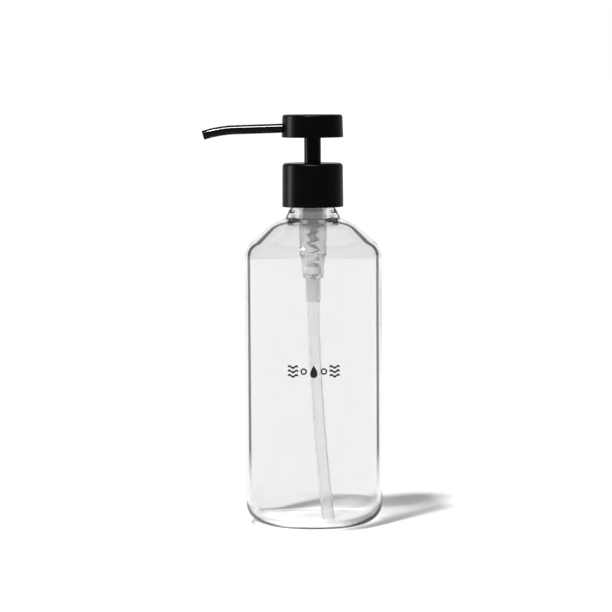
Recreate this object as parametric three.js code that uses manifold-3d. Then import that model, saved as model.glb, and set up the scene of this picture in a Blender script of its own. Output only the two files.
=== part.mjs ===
// Soap pump dispenser: a clear glass bottle closed by a screw-on lotion pump with a black head,
// stem and collar. Millimetres, +Z up. The origin is the centre of the bottle's flat underside,
// and the spout points along -X.

import * as THREE from "three";
import { mergeVertices } from "three/addons/utils/BufferGeometryUtils.js";
import Module from "manifold-3d";

const wasm = await Module();
wasm.setup();

const TURN = 2 * Math.PI;
const DEGREE = Math.PI / 180;

// ---------------------------------------------------------------- driving dimensions

const fine = 36; // facets round the bottle and the metal covers
const round = 24; // facets round the pump's pieces
const small = 12; // facets round tubes and rods
const arcStep = 24 * DEGREE; // longest step of a fillet's arc
const slip = 0.05; // radial clearance of a pressed or sliding fit
const running = 0.3; // radial clearance round a piece that turns or travels freely
const seatGap = 0.1; // clearance between faces that meet and part again
const edge = 0.3; // bevel of a moulded or cut edge

// Stem, its sleeve and the lock ring that guides them
const stemBore = 1.9;
const stemWall = 1.5;
const stemStopOverhang = 1.8;
const stemStopThickness = 2.4;
const sleeveGap = 0.55; // between the stem and its sleeve
const sleeveWall = 0.5;
const bushWall = 1.4;
const ringNeckWall = 1.95;
const ringRimOverhang = 0.65;
const ringRimThickness = 0.9;
const ringFlangeThickness = 1.8;
const ringDepth = 17.2; // below the housing's flange
const guideLength = 3.4;
const sealThickness = 1.6;

// Pump housing
const barrelWall = 0.95;
const barrelDraft = 0.7;
const barrelSpare = 3.95; // below the piston when it is pressed right down
const flangeInset = 0.4; // inside the bottle's neck
const flangeThickness = 1.6;
const ringFlangeInset = 2; // inside the housing's flange
const cageInset = 0.65; // step between the barrel and the valve cage
const cageDraft = 1.15;
const cageLength = 13;
const cageTopWall = 1.5;
const cageBottomWall = 0.9;
const floorThickness = 2.2;
const inletRadius = 1.4;
const tailLength = 12.8;
const tailWall = 0.72;
const ventRadius = 0.5;
const ventDrop = 3; // below the flange

// Piston, rod, spring and inlet valve
const stroke = 12.5;
const lostMotion = 1;
const pistonHeight = 5.4;
const pistonLipHeight = 1.3;
const pistonLipDepth = 1;
const portGap = 0.4; // between the rod's shank and the piston
const rodHeadThickness = 1.4;
const rodConeHeight = 1;
const rodShankLength = 9;
const rodPinRadius = 1.9;
const rodPinGap = 0.58; // above the ball retainer when it is pressed right down
const springInnerGap = 0.78;
const springWireRadius = 0.42;
const springTurns = 5.5;
const springDeadTurns = 1.2; // close turns at the lower end
const deadPitch = 1.1; // rise of a close turn
const ballRadius = 1.8;
const ballLift = 1.1;
const ballPocketGap = 0.9;
const retainerPlate = 0.8;

// Bottle's neck and thread, right-handed
const neckGap = 1.85; // between the housing and the neck's bore
const neckWall = 2.3;
const neckHeight = 20.8; // lip above the root of the neck
const neckFlare = 2.2;
const neckFlareRise = 1.8;
const neckFlareLength = 3.4;
const neckRootSpread = 0.4;
const rootFillet = 0.7;
const flareFillet = 1.5;
const lipFillet = 0.8;
const innerNeckFillet = 3;
const threadPitch = 4.233;
const threadDepth = 1.45;
const threadRootWidth = 2.2;
const threadCrestWidth = 1.1;
const neckThreadTurns = 1.5;
const capThreadTurns = 1.25;
const threadClearance = 0.35;
const threadBelowLip = 2.6;

// Bottle's body
const bottleRadius = 36.5;
const bottleWall = 2.3;
const baseThickness = 3.2;
const heelRadius = 9;
const shoulderFillet = 10;
const shelfFillet = 5;
const coneFootHeight = 147.7; // where the wall's line meets the shoulder's cone
const shelfWidth = 7.4; // between the neck's flare and the cone
const coneRise = 13.1;
const shelfRise = 2.8;

// Gasket, cap and collar
const gasketThickness = 1.2;
const capWall = 1.45;
const capPlate = 1.8;
const capInset = 0.6; // above the collar's lower edge
const metalWall = 0.75;
const collarDraft = 0.2;
const collarFillet = 1.8;
const collarHeight = 23.3;
const collarTopGap = 1.25; // between the cap's plate and the collar's top wall

// Dip tube
const tubeRadius = 3.15;
const tubeWall = 0.65;
const tubePlugLength = 10.4;
const tubeEndHeight = 5.2;
const tubeWallGap = 4; // between its end and the bottle's wall
const tubeHeading = -74.3 * DEGREE; // the way it leans, from +X
const tubeBendPower = 1.6;

// Head and spout
const headTopRadius = 16;
const headDraft = 0.4;
const headHeight = 12.1;
const headFillet = 1.3;
const headGap = 1.1; // between the collar and the head when it is pressed right down
const insertWall = 1.2;
const insertCeiling = 1.8;
const hubWall = 1.5;
const hubRecess = 0.8;
const sleeveGrip = 1.6;
const spoutRadius = 2.5;
const spoutWall = 0.5;
const spoutReach = 58.2;
const spoutRise = 5.1; // axis above the head's lower edge
const spoutBendReach = 41;
const spoutGrip = 7; // inside the head's cover
const spoutDroop = 1.6 * DEGREE;
const spoutBend = 16 * DEGREE;
const linerWall = 0.5;
const linerRecess = 0.8;
const bossWall = 1.4;

// ---------------------------------------------------------------- radii that follow

const stemRadius = stemBore + stemWall;
const sleeveRadius = stemRadius + sleeveGap + sleeveWall;
const ringBore = sleeveRadius + running;
const bushRadius = ringBore + bushWall;
const ringNeckRadius = ringBore + ringNeckWall;

const barrelBore = bushRadius + slip;
const barrelBottomRadius = barrelBore + barrelWall;
const barrelTopRadius = barrelBottomRadius + barrelDraft;
const cageTopRadius = barrelBottomRadius - cageInset;
const cageBottomRadius = cageTopRadius - cageDraft;
const cageTopBore = cageTopRadius - cageTopWall;
const cageBottomBore = cageBottomRadius - cageBottomWall;
const tailBore = tubeRadius + slip;

const neckBore = barrelTopRadius + neckGap;
const neckRadius = neckBore + neckWall;
const neckFlareRadius = neckRadius + neckFlare;
const shelfRadius = neckFlareRadius + shelfWidth;
const flangeRadius = neckRadius - flangeInset;
const ringFlangeRadius = flangeRadius - ringFlangeInset;
const capBore = neckRadius + threadDepth + threadClearance;
const capRadius = capBore + capWall;
const collarTopRadius = capRadius + seatGap + metalWall;
const collarBottomRadius = collarTopRadius + collarDraft;
const headBottomRadius = headTopRadius + headDraft;

const rodShankRadius = stemBore - slip;
const pistonBore = rodShankRadius + portGap;
const springMeanRadius = rodPinRadius + springInnerGap + springWireRadius;
const rodHeadRadius = springMeanRadius + springWireRadius + seatGap;

// ---------------------------------------------------------------- levels that follow

const shelfHeight = coneFootHeight + coneRise;
const neckRoot = shelfHeight + shelfRise;
const lip = neckRoot + neckHeight;
const flangeBottom = lip + gasketThickness;
const flangeTop = flangeBottom + flangeThickness;
const plateBottom = flangeTop + ringFlangeThickness;
const plateTop = plateBottom + capPlate;
const collarTop = plateTop + collarTopGap + metalWall;
const collarBottom = collarTop - collarHeight;
const headBottom = collarTop + headGap + stroke;
const headTop = headBottom + headHeight;
const innerHeadTop = headTop - metalWall;
const insertBottom = headBottom + hubRecess;
const spoutHeight = headBottom + spoutRise;
const spoutStartReach = headTopRadius - metalWall - spoutGrip;

const ringBottom = flangeTop - ringDepth;
const sealBottom = ringBottom + guideLength;
const sealTop = sealBottom + sealThickness;
const sleeveBottom = sealTop + stroke + running;
const stemStopTop = ringBottom - seatGap;
const stemBottom = stemStopTop - stemStopThickness;
const stemTop = spoutHeight + stemBore + 0.5;
const pistonTop = stemBottom - lostMotion - slip;
const pistonBottom = pistonTop - pistonHeight;
const rodHeadTop = pistonBottom - slip;
const rodHeadBottom = rodHeadTop - rodConeHeight - rodHeadThickness;

const barrelBottom = pistonBottom - stroke - barrelSpare;
const cageBottom = barrelBottom - cageLength;
const tailBottom = cageBottom - tailLength;
const seatHeight = cageBottom + floorThickness - (cageBottomBore - inletRadius) / 2;

// The ball rests on a cone of 45 degrees, just clear of it.
const ballHeight = seatHeight - inletRadius + ballRadius * Math.SQRT2 + seatGap;
const retainerBottom = cageBottom + floorThickness + seatGap;
const retainerCeiling = ballHeight + ballRadius + ballLift + seatGap;
const retainerTop = retainerCeiling + retainerPlate;
const rodPinBottom = retainerTop + stroke + rodPinGap;

const threadTop = lip - threadBelowLip;
const neckThreadBottom = threadTop - neckThreadTurns * threadPitch;
const capThreadBottom = neckThreadBottom - threadPitch / 2;

// ---------------------------------------------------------------- finishes

const finish = (color, roughness, metalness, more = {}) =>
  new THREE.MeshStandardMaterial({ color, roughness, metalness, ...more });

const clearGlass = finish(0xe9f1ee, 0.03, 0, { transparent: true, opacity: 0.3 });
const satinBlack = finish(0x0c0c0d, 0.42, 0.5);
const glossBlack = finish(0x101012, 0.16, 0.8);
const milkyPlastic = finish(0xe6e8e4, 0.35, 0, { transparent: true, opacity: 0.6 });
const whitePlastic = finish(0xeeeeea, 0.4, 0);
const blackPlastic = finish(0x141414, 0.5, 0);
const softWhite = finish(0xf4f4f0, 0.6, 0);
const springSteel = finish(0x9a9da0, 0.25, 1);
const paleGlass = finish(0xd8e4e0, 0.05, 0);

// ---------------------------------------------------------------- helpers

// Points of an outline in radius and height. Each corner is [radius, height, fillet], and a fillet
// becomes an arc that touches both of the corner's sides, or a plain bevel where it is small.
function outline(corners) {
  const at = (index) => {
    const [radius, height] = corners.at(index % corners.length);
    return new THREE.Vector2(radius, height);
  };
  return corners.flatMap(([, , fillet = 0], index) => {
    const corner = at(index);
    if (fillet === 0) return [corner];
    const back = at(index - 1).sub(corner).normalize();
    const onward = at(index + 1).sub(corner).normalize();
    const half = Math.acos(back.dot(onward)) / 2;
    const middle = back.clone().add(onward).setLength(fillet / Math.sin(half)).add(corner);
    const first = back.multiplyScalar(fillet / Math.tan(half)).add(corner).sub(middle);
    const last = onward.multiplyScalar(fillet / Math.tan(half)).add(corner).sub(middle);
    const sweep = Math.atan2(first.cross(last), first.dot(last));
    const steps = fillet < 1 ? 1 : Math.ceil(Math.abs(sweep) / arcStep);
    return Array.from({ length: steps + 1 }, (_, step) => {
      const spoke = first.clone().rotateAround(new THREE.Vector2(), (sweep * step) / steps);
      return spoke.add(middle);
    });
  });
}

// A solid of revolution about Z. Its corners run up the outside and down the inside, and it
// closes on itself.
function turned(corners, facets) {
  const points = outline(corners);
  points.push(points[0].clone());
  return new THREE.LatheGeometry(points, facets).rotateX(Math.PI / 2);
}

// A round bar between two places, which also serves as the cutter of a bore.
function roundBar(radius, from, to, facets = small) {
  const span = new THREE.Vector3().subVectors(to, from);
  const bar = new THREE.CylinderGeometry(radius, radius, span.length(), facets);
  const tilt = new THREE.Quaternion();
  tilt.setFromUnitVectors(new THREE.Vector3(0, 1, 0), span.clone().normalize());
  bar.applyQuaternion(tilt);
  return bar.translate(...span.multiplyScalar(0.5).add(from));
}

// A straight bar wound round Z. The section's x is height and its y is distance outwards.
// `height` and `scale` give the bar's level and the size of its section from 0 to 1 along it.
function wound(section, { radius, turns, steps, height, scale = () => 1 }) {
  const bar = new THREE.ExtrudeGeometry(section, {
    depth: 1,
    steps,
    bevelEnabled: false,
    curveSegments: 3,
  });
  const place = bar.getAttribute("position");
  for (let index = 0; index < place.count; index += 1) {
    const along = place.getZ(index);
    const size = scale(along);
    const angle = along * turns * TURN;
    const reach = radius + place.getY(index) * size;
    const level = height(along) + place.getX(index) * size;
    place.setXYZ(index, reach * Math.cos(angle), reach * Math.sin(angle), level);
  }
  return bar;
}

// A tube of even wall along a curve.
function tubeAlong(curve, radius, wall, steps) {
  const section = new THREE.Shape().absarc(0, 0, radius, 0, TURN);
  section.holes.push(new THREE.Path().absarc(0, 0, radius - wall, 0, TURN));
  return new THREE.ExtrudeGeometry(section, {
    steps,
    bevelEnabled: false,
    extrudePath: curve,
    curveSegments: small / 2,
  });
}

function solidOf(geometry) {
  const bare = geometry.clone();
  bare.deleteAttribute("normal");
  bare.deleteAttribute("uv");
  const merged = mergeVertices(bare, 1e-4);
  return new wasm.Manifold(
    new wasm.Mesh({
      numProp: 3,
      vertProperties: merged.getAttribute("position").array,
      triVerts: new Uint32Array(merged.index.array),
    }),
  );
}

function geometryOf(solid) {
  const { vertProperties, triVerts } = solid.getMesh();
  const geometry = new THREE.BufferGeometry();
  geometry.setAttribute("position", new THREE.BufferAttribute(vertProperties, 3));
  geometry.setIndex(new THREE.BufferAttribute(triVerts, 1));
  geometry.computeVertexNormals();
  return geometry;
}

// Joins `added` to a body and then cuts `removed` from it.
function shaped(body, { added = [], removed = [] }) {
  const joined = added.reduce((solid, piece) => solid.add(solidOf(piece)), solidOf(body));
  return geometryOf(removed.reduce((solid, piece) => solid.subtract(solidOf(piece)), joined));
}

function piece(name, geometry, material) {
  const mesh = new THREE.Mesh(geometry, material);
  mesh.name = name;
  return mesh;
}

const onAxis = (height) => new THREE.Vector3(0, 0, height);
const alongSpout = (reach, height = spoutHeight) => new THREE.Vector3(-reach, 0, height);

// ---------------------------------------------------------------- bottle

// The trapezoid section of a thread. `outwards` is 1 on the neck and -1 inside the cap.
function threadSection(outwards) {
  const embedded = 0.3 * outwards;
  const crest = threadDepth * outwards;
  const corners = [
    [-threadRootWidth / 2, -embedded],
    [-threadCrestWidth / 2, crest],
    [threadCrestWidth / 2, crest],
    [threadRootWidth / 2, -embedded],
  ];
  return new THREE.Shape(corners.map(([height, out]) => new THREE.Vector2(height, out)));
}

const runOut = 1 / 12; // share of a thread over which its ends fade
const fade = (along) => Math.min(1, 0.15 + 0.85 * (Math.min(along, 1 - along) / runOut));

function thread(outwards, radius, turns, bottom) {
  return wound(threadSection(outwards), {
    radius,
    turns,
    steps: Math.round(turns * 24),
    height: (along) => bottom + along * turns * threadPitch,
    scale: fade,
  });
}

function glassBottle() {
  const coneRun = bottleRadius - shelfRadius;
  const coneLength = Math.hypot(coneRun, coneRise);
  const innerRadius = bottleRadius - bottleWall;
  const shelfInner = shelfRadius - (coneRise / coneLength) * bottleWall;
  const shelfInnerHeight = shelfHeight - (coneRun / coneLength) * bottleWall;
  const wallInnerHeight = shelfInnerHeight - ((innerRadius - shelfInner) * coneRise) / coneRun;
  const body = turned(
    [
      [0, 0],
      [bottleRadius, 0, heelRadius],
      [bottleRadius, coneFootHeight, shoulderFillet],
      [shelfRadius, shelfHeight, shelfFillet],
      [neckFlareRadius + neckRootSpread, neckRoot, rootFillet],
      [neckFlareRadius, neckRoot + neckFlareRise, flareFillet],
      [neckRadius, neckRoot + neckFlareRise + neckFlareLength, flareFillet],
      [neckRadius, lip, lipFillet],
      [neckBore, lip, lipFillet],
      [neckBore, neckRoot - bottleWall / 2, innerNeckFillet],
      [shelfInner, shelfInnerHeight, shelfFillet],
      [innerRadius, wallInnerHeight, shoulderFillet],
      [innerRadius, baseThickness, heelRadius - bottleWall],
      [0, baseThickness],
    ],
    fine,
  );
  return shaped(body, { added: [thread(1, neckRadius, neckThreadTurns, neckThreadBottom)] });
}

// ---------------------------------------------------------------- closure

function threadedCap() {
  const plateBore = ringNeckRadius + running;
  const body = turned(
    [
      [capBore, collarBottom + capInset],
      [capRadius, collarBottom + capInset],
      [capRadius, plateTop, 1.6],
      [plateBore, plateTop],
      [plateBore, plateBottom],
      [capBore, plateBottom],
    ],
    fine,
  );
  return shaped(body, { added: [thread(-1, capBore, capThreadTurns, capThreadBottom)] });
}

function collarShell() {
  const hole = ringBore + seatGap;
  return turned(
    [
      [collarBottomRadius - metalWall, collarBottom],
      [collarBottomRadius, collarBottom, edge],
      [collarTopRadius, collarTop, collarFillet],
      [hole, collarTop, edge],
      [hole, collarTop - metalWall],
      [collarTopRadius - metalWall, collarTop - metalWall, collarFillet - metalWall],
    ],
    fine,
  );
}

function neckGasket() {
  const inner = barrelTopRadius + seatGap;
  return turned(
    [
      [inner, lip],
      [neckRadius, lip],
      [neckRadius, flangeBottom],
      [inner, flangeBottom],
    ],
    round,
  );
}

// ---------------------------------------------------------------- pump body

function pumpHousing() {
  const stepDrop = 0.6;
  const tailRadius = tailBore + tailWall;
  const body = turned(
    [
      [tailBore, tailBottom],
      [tailRadius, tailBottom, edge],
      [tailRadius, cageBottom - stepDrop, edge],
      [cageBottomRadius, cageBottom, edge],
      [cageTopRadius, barrelBottom - stepDrop],
      [barrelBottomRadius, barrelBottom, edge],
      [barrelTopRadius, flangeBottom],
      [flangeRadius, flangeBottom],
      [flangeRadius, flangeTop, edge],
      [barrelBore, flangeTop, edge],
      [barrelBore, barrelBottom + 1],
      [cageTopBore, barrelBottom - 1],
      [cageBottomBore, cageBottom + floorThickness],
      [inletRadius + (cageBottomBore - inletRadius) / 2, cageBottom + floorThickness],
      [inletRadius, seatHeight],
      [inletRadius, cageBottom - stepDrop],
      [tailBore, cageBottom - stepDrop - 1],
    ],
    round,
  );
  const ventHeight = flangeBottom - ventDrop;
  const vent = roundBar(
    ventRadius,
    new THREE.Vector3(barrelBore - 1, 0, ventHeight),
    new THREE.Vector3(barrelTopRadius + 1, 0, ventHeight),
    8,
  );
  return shaped(body, { removed: [vent] });
}

function lockRing() {
  const guide = stemRadius + running - slip;
  const ringRimRadius = ringNeckRadius + ringRimOverhang;
  return turned(
    [
      [guide, ringBottom],
      [bushRadius, ringBottom, edge],
      [bushRadius, flangeTop],
      [ringFlangeRadius, flangeTop],
      [ringFlangeRadius, plateBottom, edge],
      [ringNeckRadius, plateBottom],
      [ringNeckRadius, plateTop + seatGap],
      [ringRimRadius, plateTop + seatGap],
      [ringRimRadius, plateTop + seatGap + ringRimThickness, edge],
      [ringBore, plateTop + seatGap + ringRimThickness, edge],
      [ringBore, sealBottom],
      [guide, sealBottom],
    ],
    round,
  );
}

function stemSeal() {
  const inner = stemRadius + seatGap;
  const outer = ringBore - slip;
  return turned(
    [
      [inner, sealBottom, edge],
      [outer, sealBottom],
      [outer, sealTop],
      [inner, sealTop, edge],
    ],
    round,
  );
}

function ballRetainer() {
  const outer = cageBottomBore - slip;
  const pocket = ballRadius + ballPocketGap;
  const eye = ballRadius / 2;
  const body = turned(
    [
      [pocket, retainerBottom],
      [outer, retainerBottom],
      [outer, retainerTop, edge],
      [eye, retainerTop],
      [eye, retainerCeiling],
      [pocket, retainerCeiling],
    ],
    round,
  );
  const slots = [0, 1, 2].map((index) => {
    const slot = new THREE.BoxGeometry(pocket - 1.2, 1, retainerPlate + 1);
    slot.translate(pocket / 2 + 0.25, 0, (retainerTop + retainerCeiling) / 2);
    return slot.rotateZ((index * TURN) / 3);
  });
  return shaped(body, { removed: slots });
}

function inletBall() {
  return new THREE.SphereGeometry(ballRadius, small, small / 2).rotateX(Math.PI / 2).translate(
    0,
    0,
    ballHeight,
  );
}

function dipTube() {
  const straightEnd = tailBottom;
  const top = straightEnd + tubePlugLength;
  const lean = bottleRadius - bottleWall - tubeRadius - tubeWallGap;
  const drop = straightEnd - tubeEndHeight;
  const bends = 12;
  const points = [onAxis(top), onAxis((top + straightEnd) / 2)];
  for (let step = 0; step <= bends; step += 1) {
    const share = step / bends;
    const swing = lean * share ** tubeBendPower;
    const height = straightEnd - drop * share;
    const point = new THREE.Vector3(swing * Math.cos(tubeHeading), swing * Math.sin(tubeHeading), height);
    points.push(point);
  }
  return tubeAlong(new THREE.CatmullRomCurve3(points), tubeRadius, tubeWall, 20);
}

// ---------------------------------------------------------------- plunger

function pistonSeal() {
  const outer = barrelBore - slip;
  const waist = outer - pistonLipDepth;
  const lipHeight = pistonLipHeight;
  return turned(
    [
      [pistonBore, pistonBottom],
      [waist - 0.6, pistonBottom],
      [outer, pistonBottom + 0.5],
      [outer, pistonBottom + lipHeight],
      [waist, pistonBottom + lipHeight + 0.7],
      [waist, pistonTop - lipHeight - 0.7],
      [outer, pistonTop - lipHeight],
      [outer, pistonTop - 0.5],
      [waist - 0.6, pistonTop],
      [pistonBore, pistonTop],
    ],
    round,
  );
}

function pistonRod() {
  const coneTop = rodHeadTop;
  const headShoulder = coneTop - rodConeHeight;
  const body = turned(
    [
      [0, rodPinBottom],
      [rodPinRadius, rodPinBottom, 0.6],
      [rodPinRadius, rodHeadBottom],
      [rodHeadRadius, rodHeadBottom],
      [rodHeadRadius, headShoulder],
      [pistonBore + 0.2, coneTop],
      [rodShankRadius, coneTop],
      [rodShankRadius, stemBottom + rodShankLength, 0.5],
      [0, stemBottom + rodShankLength],
    ],
    small,
  );
  const shankLength = stemBottom + rodShankLength + 1 - coneTop;
  const flats = [-1, 1].map((side) => {
    const flat = new THREE.BoxGeometry(2 * rodShankRadius, 1, shankLength);
    return flat.translate(0, side * (rodShankRadius - 0.05), coneTop + 0.2 + shankLength / 2);
  });
  return shaped(body, { removed: flats });
}

function returnSpring() {
  const foot = retainerTop + springWireRadius + slip;
  const head = rodHeadBottom - springWireRadius - slip;
  const closeRise = springDeadTurns * deadPitch;
  const deadShare = springDeadTurns / springTurns;
  const section = new THREE.Shape().absarc(0, 0, springWireRadius, 0, TURN);
  return wound(section, {
    radius: springMeanRadius,
    turns: springTurns,
    steps: Math.round(springTurns * 16),
    height: (along) => {
      if (along < deadShare) return foot + closeRise * (along / deadShare);
      const open = (along - deadShare) / (1 - deadShare);
      return foot + closeRise + (head - foot - closeRise) * open;
    },
  });
}

// ---------------------------------------------------------------- head

// The spout's middle line from one reach to another: straight, then an arc that bends down.
function spoutLine(fromReach, toReach) {
  const turnIn = Math.sin(spoutDroop + spoutBend) - Math.sin(spoutDroop);
  const bendRadius = (spoutReach - spoutBendReach) / turnIn;
  const pointAt = (reach) => {
    const straight = Math.min(reach, spoutBendReach) - spoutStartReach;
    const level = spoutHeight - straight * Math.tan(spoutDroop);
    if (reach <= spoutBendReach) return alongSpout(reach, level);
    const angle = Math.asin((reach - spoutBendReach) / bendRadius + Math.sin(spoutDroop));
    return alongSpout(reach, level - bendRadius * (Math.cos(spoutDroop) - Math.cos(angle)));
  };
  const steps = 14;
  const reaches = Array.from({ length: steps + 1 }, (_, step) => {
    const share = step / steps;
    return fromReach + (toReach - fromReach) * share;
  });
  return new THREE.CatmullRomCurve3(reaches.map(pointAt));
}

function pistonStem() {
  const body = turned(
    [
      [stemBore, stemBottom],
      [stemRadius + stemStopOverhang, stemBottom, edge],
      [stemRadius + stemStopOverhang, stemStopTop, edge],
      [stemRadius, stemStopTop],
      [stemRadius, stemTop, edge],
      [stemBore, stemTop],
    ],
    round,
  );
  const window = roundBar(stemBore - 0.4, alongSpout(0.5), alongSpout(stemRadius + 1), small);
  return shaped(body, { removed: [window] });
}

function stemSleeve() {
  return turned(
    [
      [sleeveRadius - sleeveWall, sleeveBottom],
      [sleeveRadius, sleeveBottom, 0.2],
      [sleeveRadius, insertBottom + sleeveGrip],
      [sleeveRadius - sleeveWall, insertBottom + sleeveGrip],
    ],
    round,
  );
}

function headInsert() {
  const skirtBottomRadius = headBottomRadius - metalWall - 2 * slip;
  const skirtTopRadius = headTopRadius - metalWall - 2 * slip;
  const hubRadius = sleeveRadius + slip + hubWall;
  const ceiling = innerHeadTop - insertCeiling;
  const gripTop = insertBottom + sleeveGrip + seatGap;
  const body = turned(
    [
      [sleeveRadius + slip, insertBottom],
      [hubRadius, insertBottom, edge],
      [hubRadius, ceiling],
      [skirtTopRadius - insertWall, ceiling],
      [skirtBottomRadius - insertWall, insertBottom],
      [skirtBottomRadius, insertBottom],
      [skirtTopRadius, innerHeadTop - seatGap, 0.8],
      [0, innerHeadTop - seatGap],
      [0, stemTop + seatGap],
      [stemRadius + slip, stemTop + seatGap],
      [stemRadius + slip, gripTop],
      [sleeveRadius + slip, gripTop],
    ],
    round,
  );
  const wallReach = skirtTopRadius - insertWall / 2;
  const boss = roundBar(spoutRadius + bossWall, alongSpout(hubRadius - 1), alongSpout(wallReach));
  const socketStart = spoutStartReach - running;
  const socket = roundBar(spoutRadius + running, alongSpout(socketStart), alongSpout(wallReach + 4));
  const channelRadius = stemBore - 0.4;
  const channel = roundBar(channelRadius, alongSpout(stemRadius - 0.5), alongSpout(socketStart + 1));
  return shaped(body, { added: [boss], removed: [socket, channel] });
}

function headShell() {
  const body = turned(
    [
      [headBottomRadius - metalWall, headBottom],
      [headBottomRadius, headBottom, edge],
      [headTopRadius, headTop, headFillet],
      [0, headTop],
      [0, innerHeadTop],
      [headTopRadius - metalWall, innerHeadTop, headFillet - metalWall],
    ],
    fine,
  );
  const hole = roundBar(
    spoutRadius + running,
    alongSpout(headTopRadius - 3),
    alongSpout(headBottomRadius + 3),
  );
  return shaped(body, { removed: [hole] });
}

function spoutTube() {
  return tubeAlong(spoutLine(spoutStartReach, spoutReach), spoutRadius, spoutWall, 14);
}

function spoutLiner() {
  const radius = spoutRadius - spoutWall - slip;
  return tubeAlong(spoutLine(spoutStartReach, spoutReach - linerRecess), radius, linerWall, 14);
}

// ---------------------------------------------------------------- assembly

const bottle = new THREE.Group();
bottle.add(piece("glass_bottle", glassBottle(), clearGlass));

const closure = new THREE.Group();
closure.add(
  piece("collar_shell", collarShell(), satinBlack),
  piece("threaded_cap", threadedCap(), blackPlastic),
);

const pumpBody = new THREE.Group();
pumpBody.add(
  piece("pump_housing", pumpHousing(), milkyPlastic),
  piece("lock_ring", lockRing(), whitePlastic),
  piece("stem_seal", stemSeal(), softWhite),
  piece("neck_gasket", neckGasket(), softWhite),
  piece("ball_retainer", ballRetainer(), milkyPlastic),
  piece("inlet_ball", inletBall(), paleGlass),
  piece("return_spring", returnSpring(), springSteel),
  piece("dip_tube", dipTube(), milkyPlastic),
);

const plunger = new THREE.Group();
plunger.add(
  piece("piston_rod", pistonRod(), whitePlastic),
  piece("piston_seal", pistonSeal(), softWhite),
);

const head = new THREE.Group();
head.add(
  piece("piston_stem", pistonStem(), whitePlastic),
  piece("stem_sleeve", stemSleeve(), satinBlack),
  piece("head_insert", headInsert(), blackPlastic),
  piece("head_shell", headShell(), satinBlack),
  piece("spout_tube", spoutTube(), glossBlack),
  piece("spout_liner", spoutLiner(), blackPlastic),
);

const dispenser = new THREE.Group();
dispenser.add(bottle, closure, pumpBody, plunger, head);

export default dispenser;
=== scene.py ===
"""Soap pump dispenser: a clear glass bottle closed by a lotion pump with a black metal-covered head.

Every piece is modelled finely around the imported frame, in the frame's own place. Sizes are in
millimetres and the meshes are in metres. The bottle stands on its base at the origin, +Z is up,
and the spout points along -X.
"""
import logging
import math
from collections.abc import Callable, Iterable, Sequence
from dataclasses import dataclass, field, replace
from enum import Enum
from functools import cache
from itertools import accumulate

import bmesh
import bpy
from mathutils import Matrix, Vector


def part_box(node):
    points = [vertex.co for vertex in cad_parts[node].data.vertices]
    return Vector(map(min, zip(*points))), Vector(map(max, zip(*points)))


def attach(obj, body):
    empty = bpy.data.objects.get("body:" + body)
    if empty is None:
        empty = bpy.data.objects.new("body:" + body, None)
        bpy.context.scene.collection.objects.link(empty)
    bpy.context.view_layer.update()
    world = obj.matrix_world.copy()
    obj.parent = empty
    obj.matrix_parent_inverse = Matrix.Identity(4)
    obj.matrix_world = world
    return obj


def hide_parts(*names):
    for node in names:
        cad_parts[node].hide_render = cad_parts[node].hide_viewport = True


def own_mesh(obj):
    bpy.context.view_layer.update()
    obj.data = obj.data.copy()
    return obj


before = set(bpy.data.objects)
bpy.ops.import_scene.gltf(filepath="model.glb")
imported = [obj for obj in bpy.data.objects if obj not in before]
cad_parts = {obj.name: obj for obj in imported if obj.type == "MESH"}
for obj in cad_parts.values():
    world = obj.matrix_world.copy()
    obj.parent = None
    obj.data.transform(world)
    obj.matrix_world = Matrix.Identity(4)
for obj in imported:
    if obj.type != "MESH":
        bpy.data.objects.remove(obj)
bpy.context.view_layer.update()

LOG = logging.getLogger("dispenser")
MM = 0.001
TURN = 2 * math.pi
SHARP = math.radians(32)  # an edge is drawn sharp from this turn on
CLOSE = 0.01  # two radii nearer than this are the same wall, in millimetres
OVERCUT = 1.0  # how far a cutter stands out past what it cuts, in millimetres

Colour = tuple[float, float, float]
Place = tuple[float, float, float]


# ---------------------------------------------------------------- shader toolkit


class Wire:
    """A socket that carries a value, so that shader maths reads as an expression."""

    def __init__(self, graph: "Graph", socket: bpy.types.NodeSocket) -> None:
        """Keeps the graph that the socket belongs to."""
        self.graph = graph
        self.socket = socket

    def _math(self, operation: str, *values: "Wire | float") -> "Wire":
        """Adds one Math node.

        Args:
            operation: Blender's name of the operation.
            values: its inputs, in order.

        Returns:
            The node's result.
        """
        return self.graph.node(
            "ShaderNodeMath", {"operation": operation}, dict(enumerate(values))
        )

    def __add__(self, other: "Wire | float") -> "Wire":
        """Sum."""
        return self._math("ADD", self, other)

    def __sub__(self, other: "Wire | float") -> "Wire":
        """Difference."""
        return self._math("SUBTRACT", self, other)

    def __rsub__(self, other: float) -> "Wire":
        """Difference from a number."""
        return self._math("SUBTRACT", other, self)

    def __mul__(self, other: "Wire | float") -> "Wire":
        """Product."""
        return self._math("MULTIPLY", self, other)

    def __truediv__(self, other: "Wire | float") -> "Wire":
        """Quotient."""
        return self._math("DIVIDE", self, other)

    def __pow__(self, other: "Wire | float") -> "Wire":
        """Power."""
        return self._math("POWER", self, other)

    def __abs__(self) -> "Wire":
        """Size without its sign."""
        return self._math("ABSOLUTE", self)

    __radd__ = __add__
    __rmul__ = __mul__

    def step(self, start: float, end: float) -> "Wire":
        """Smooth step.

        Args:
            start: the value that gives 0.
            end: the value that gives 1.

        Returns:
            A value from 0 to 1.
        """
        return self.graph.node(
            "ShaderNodeMapRange",
            {"interpolation_type": "SMOOTHSTEP"},
            {"Value": self, "From Min": start, "From Max": end},
        )


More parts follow.
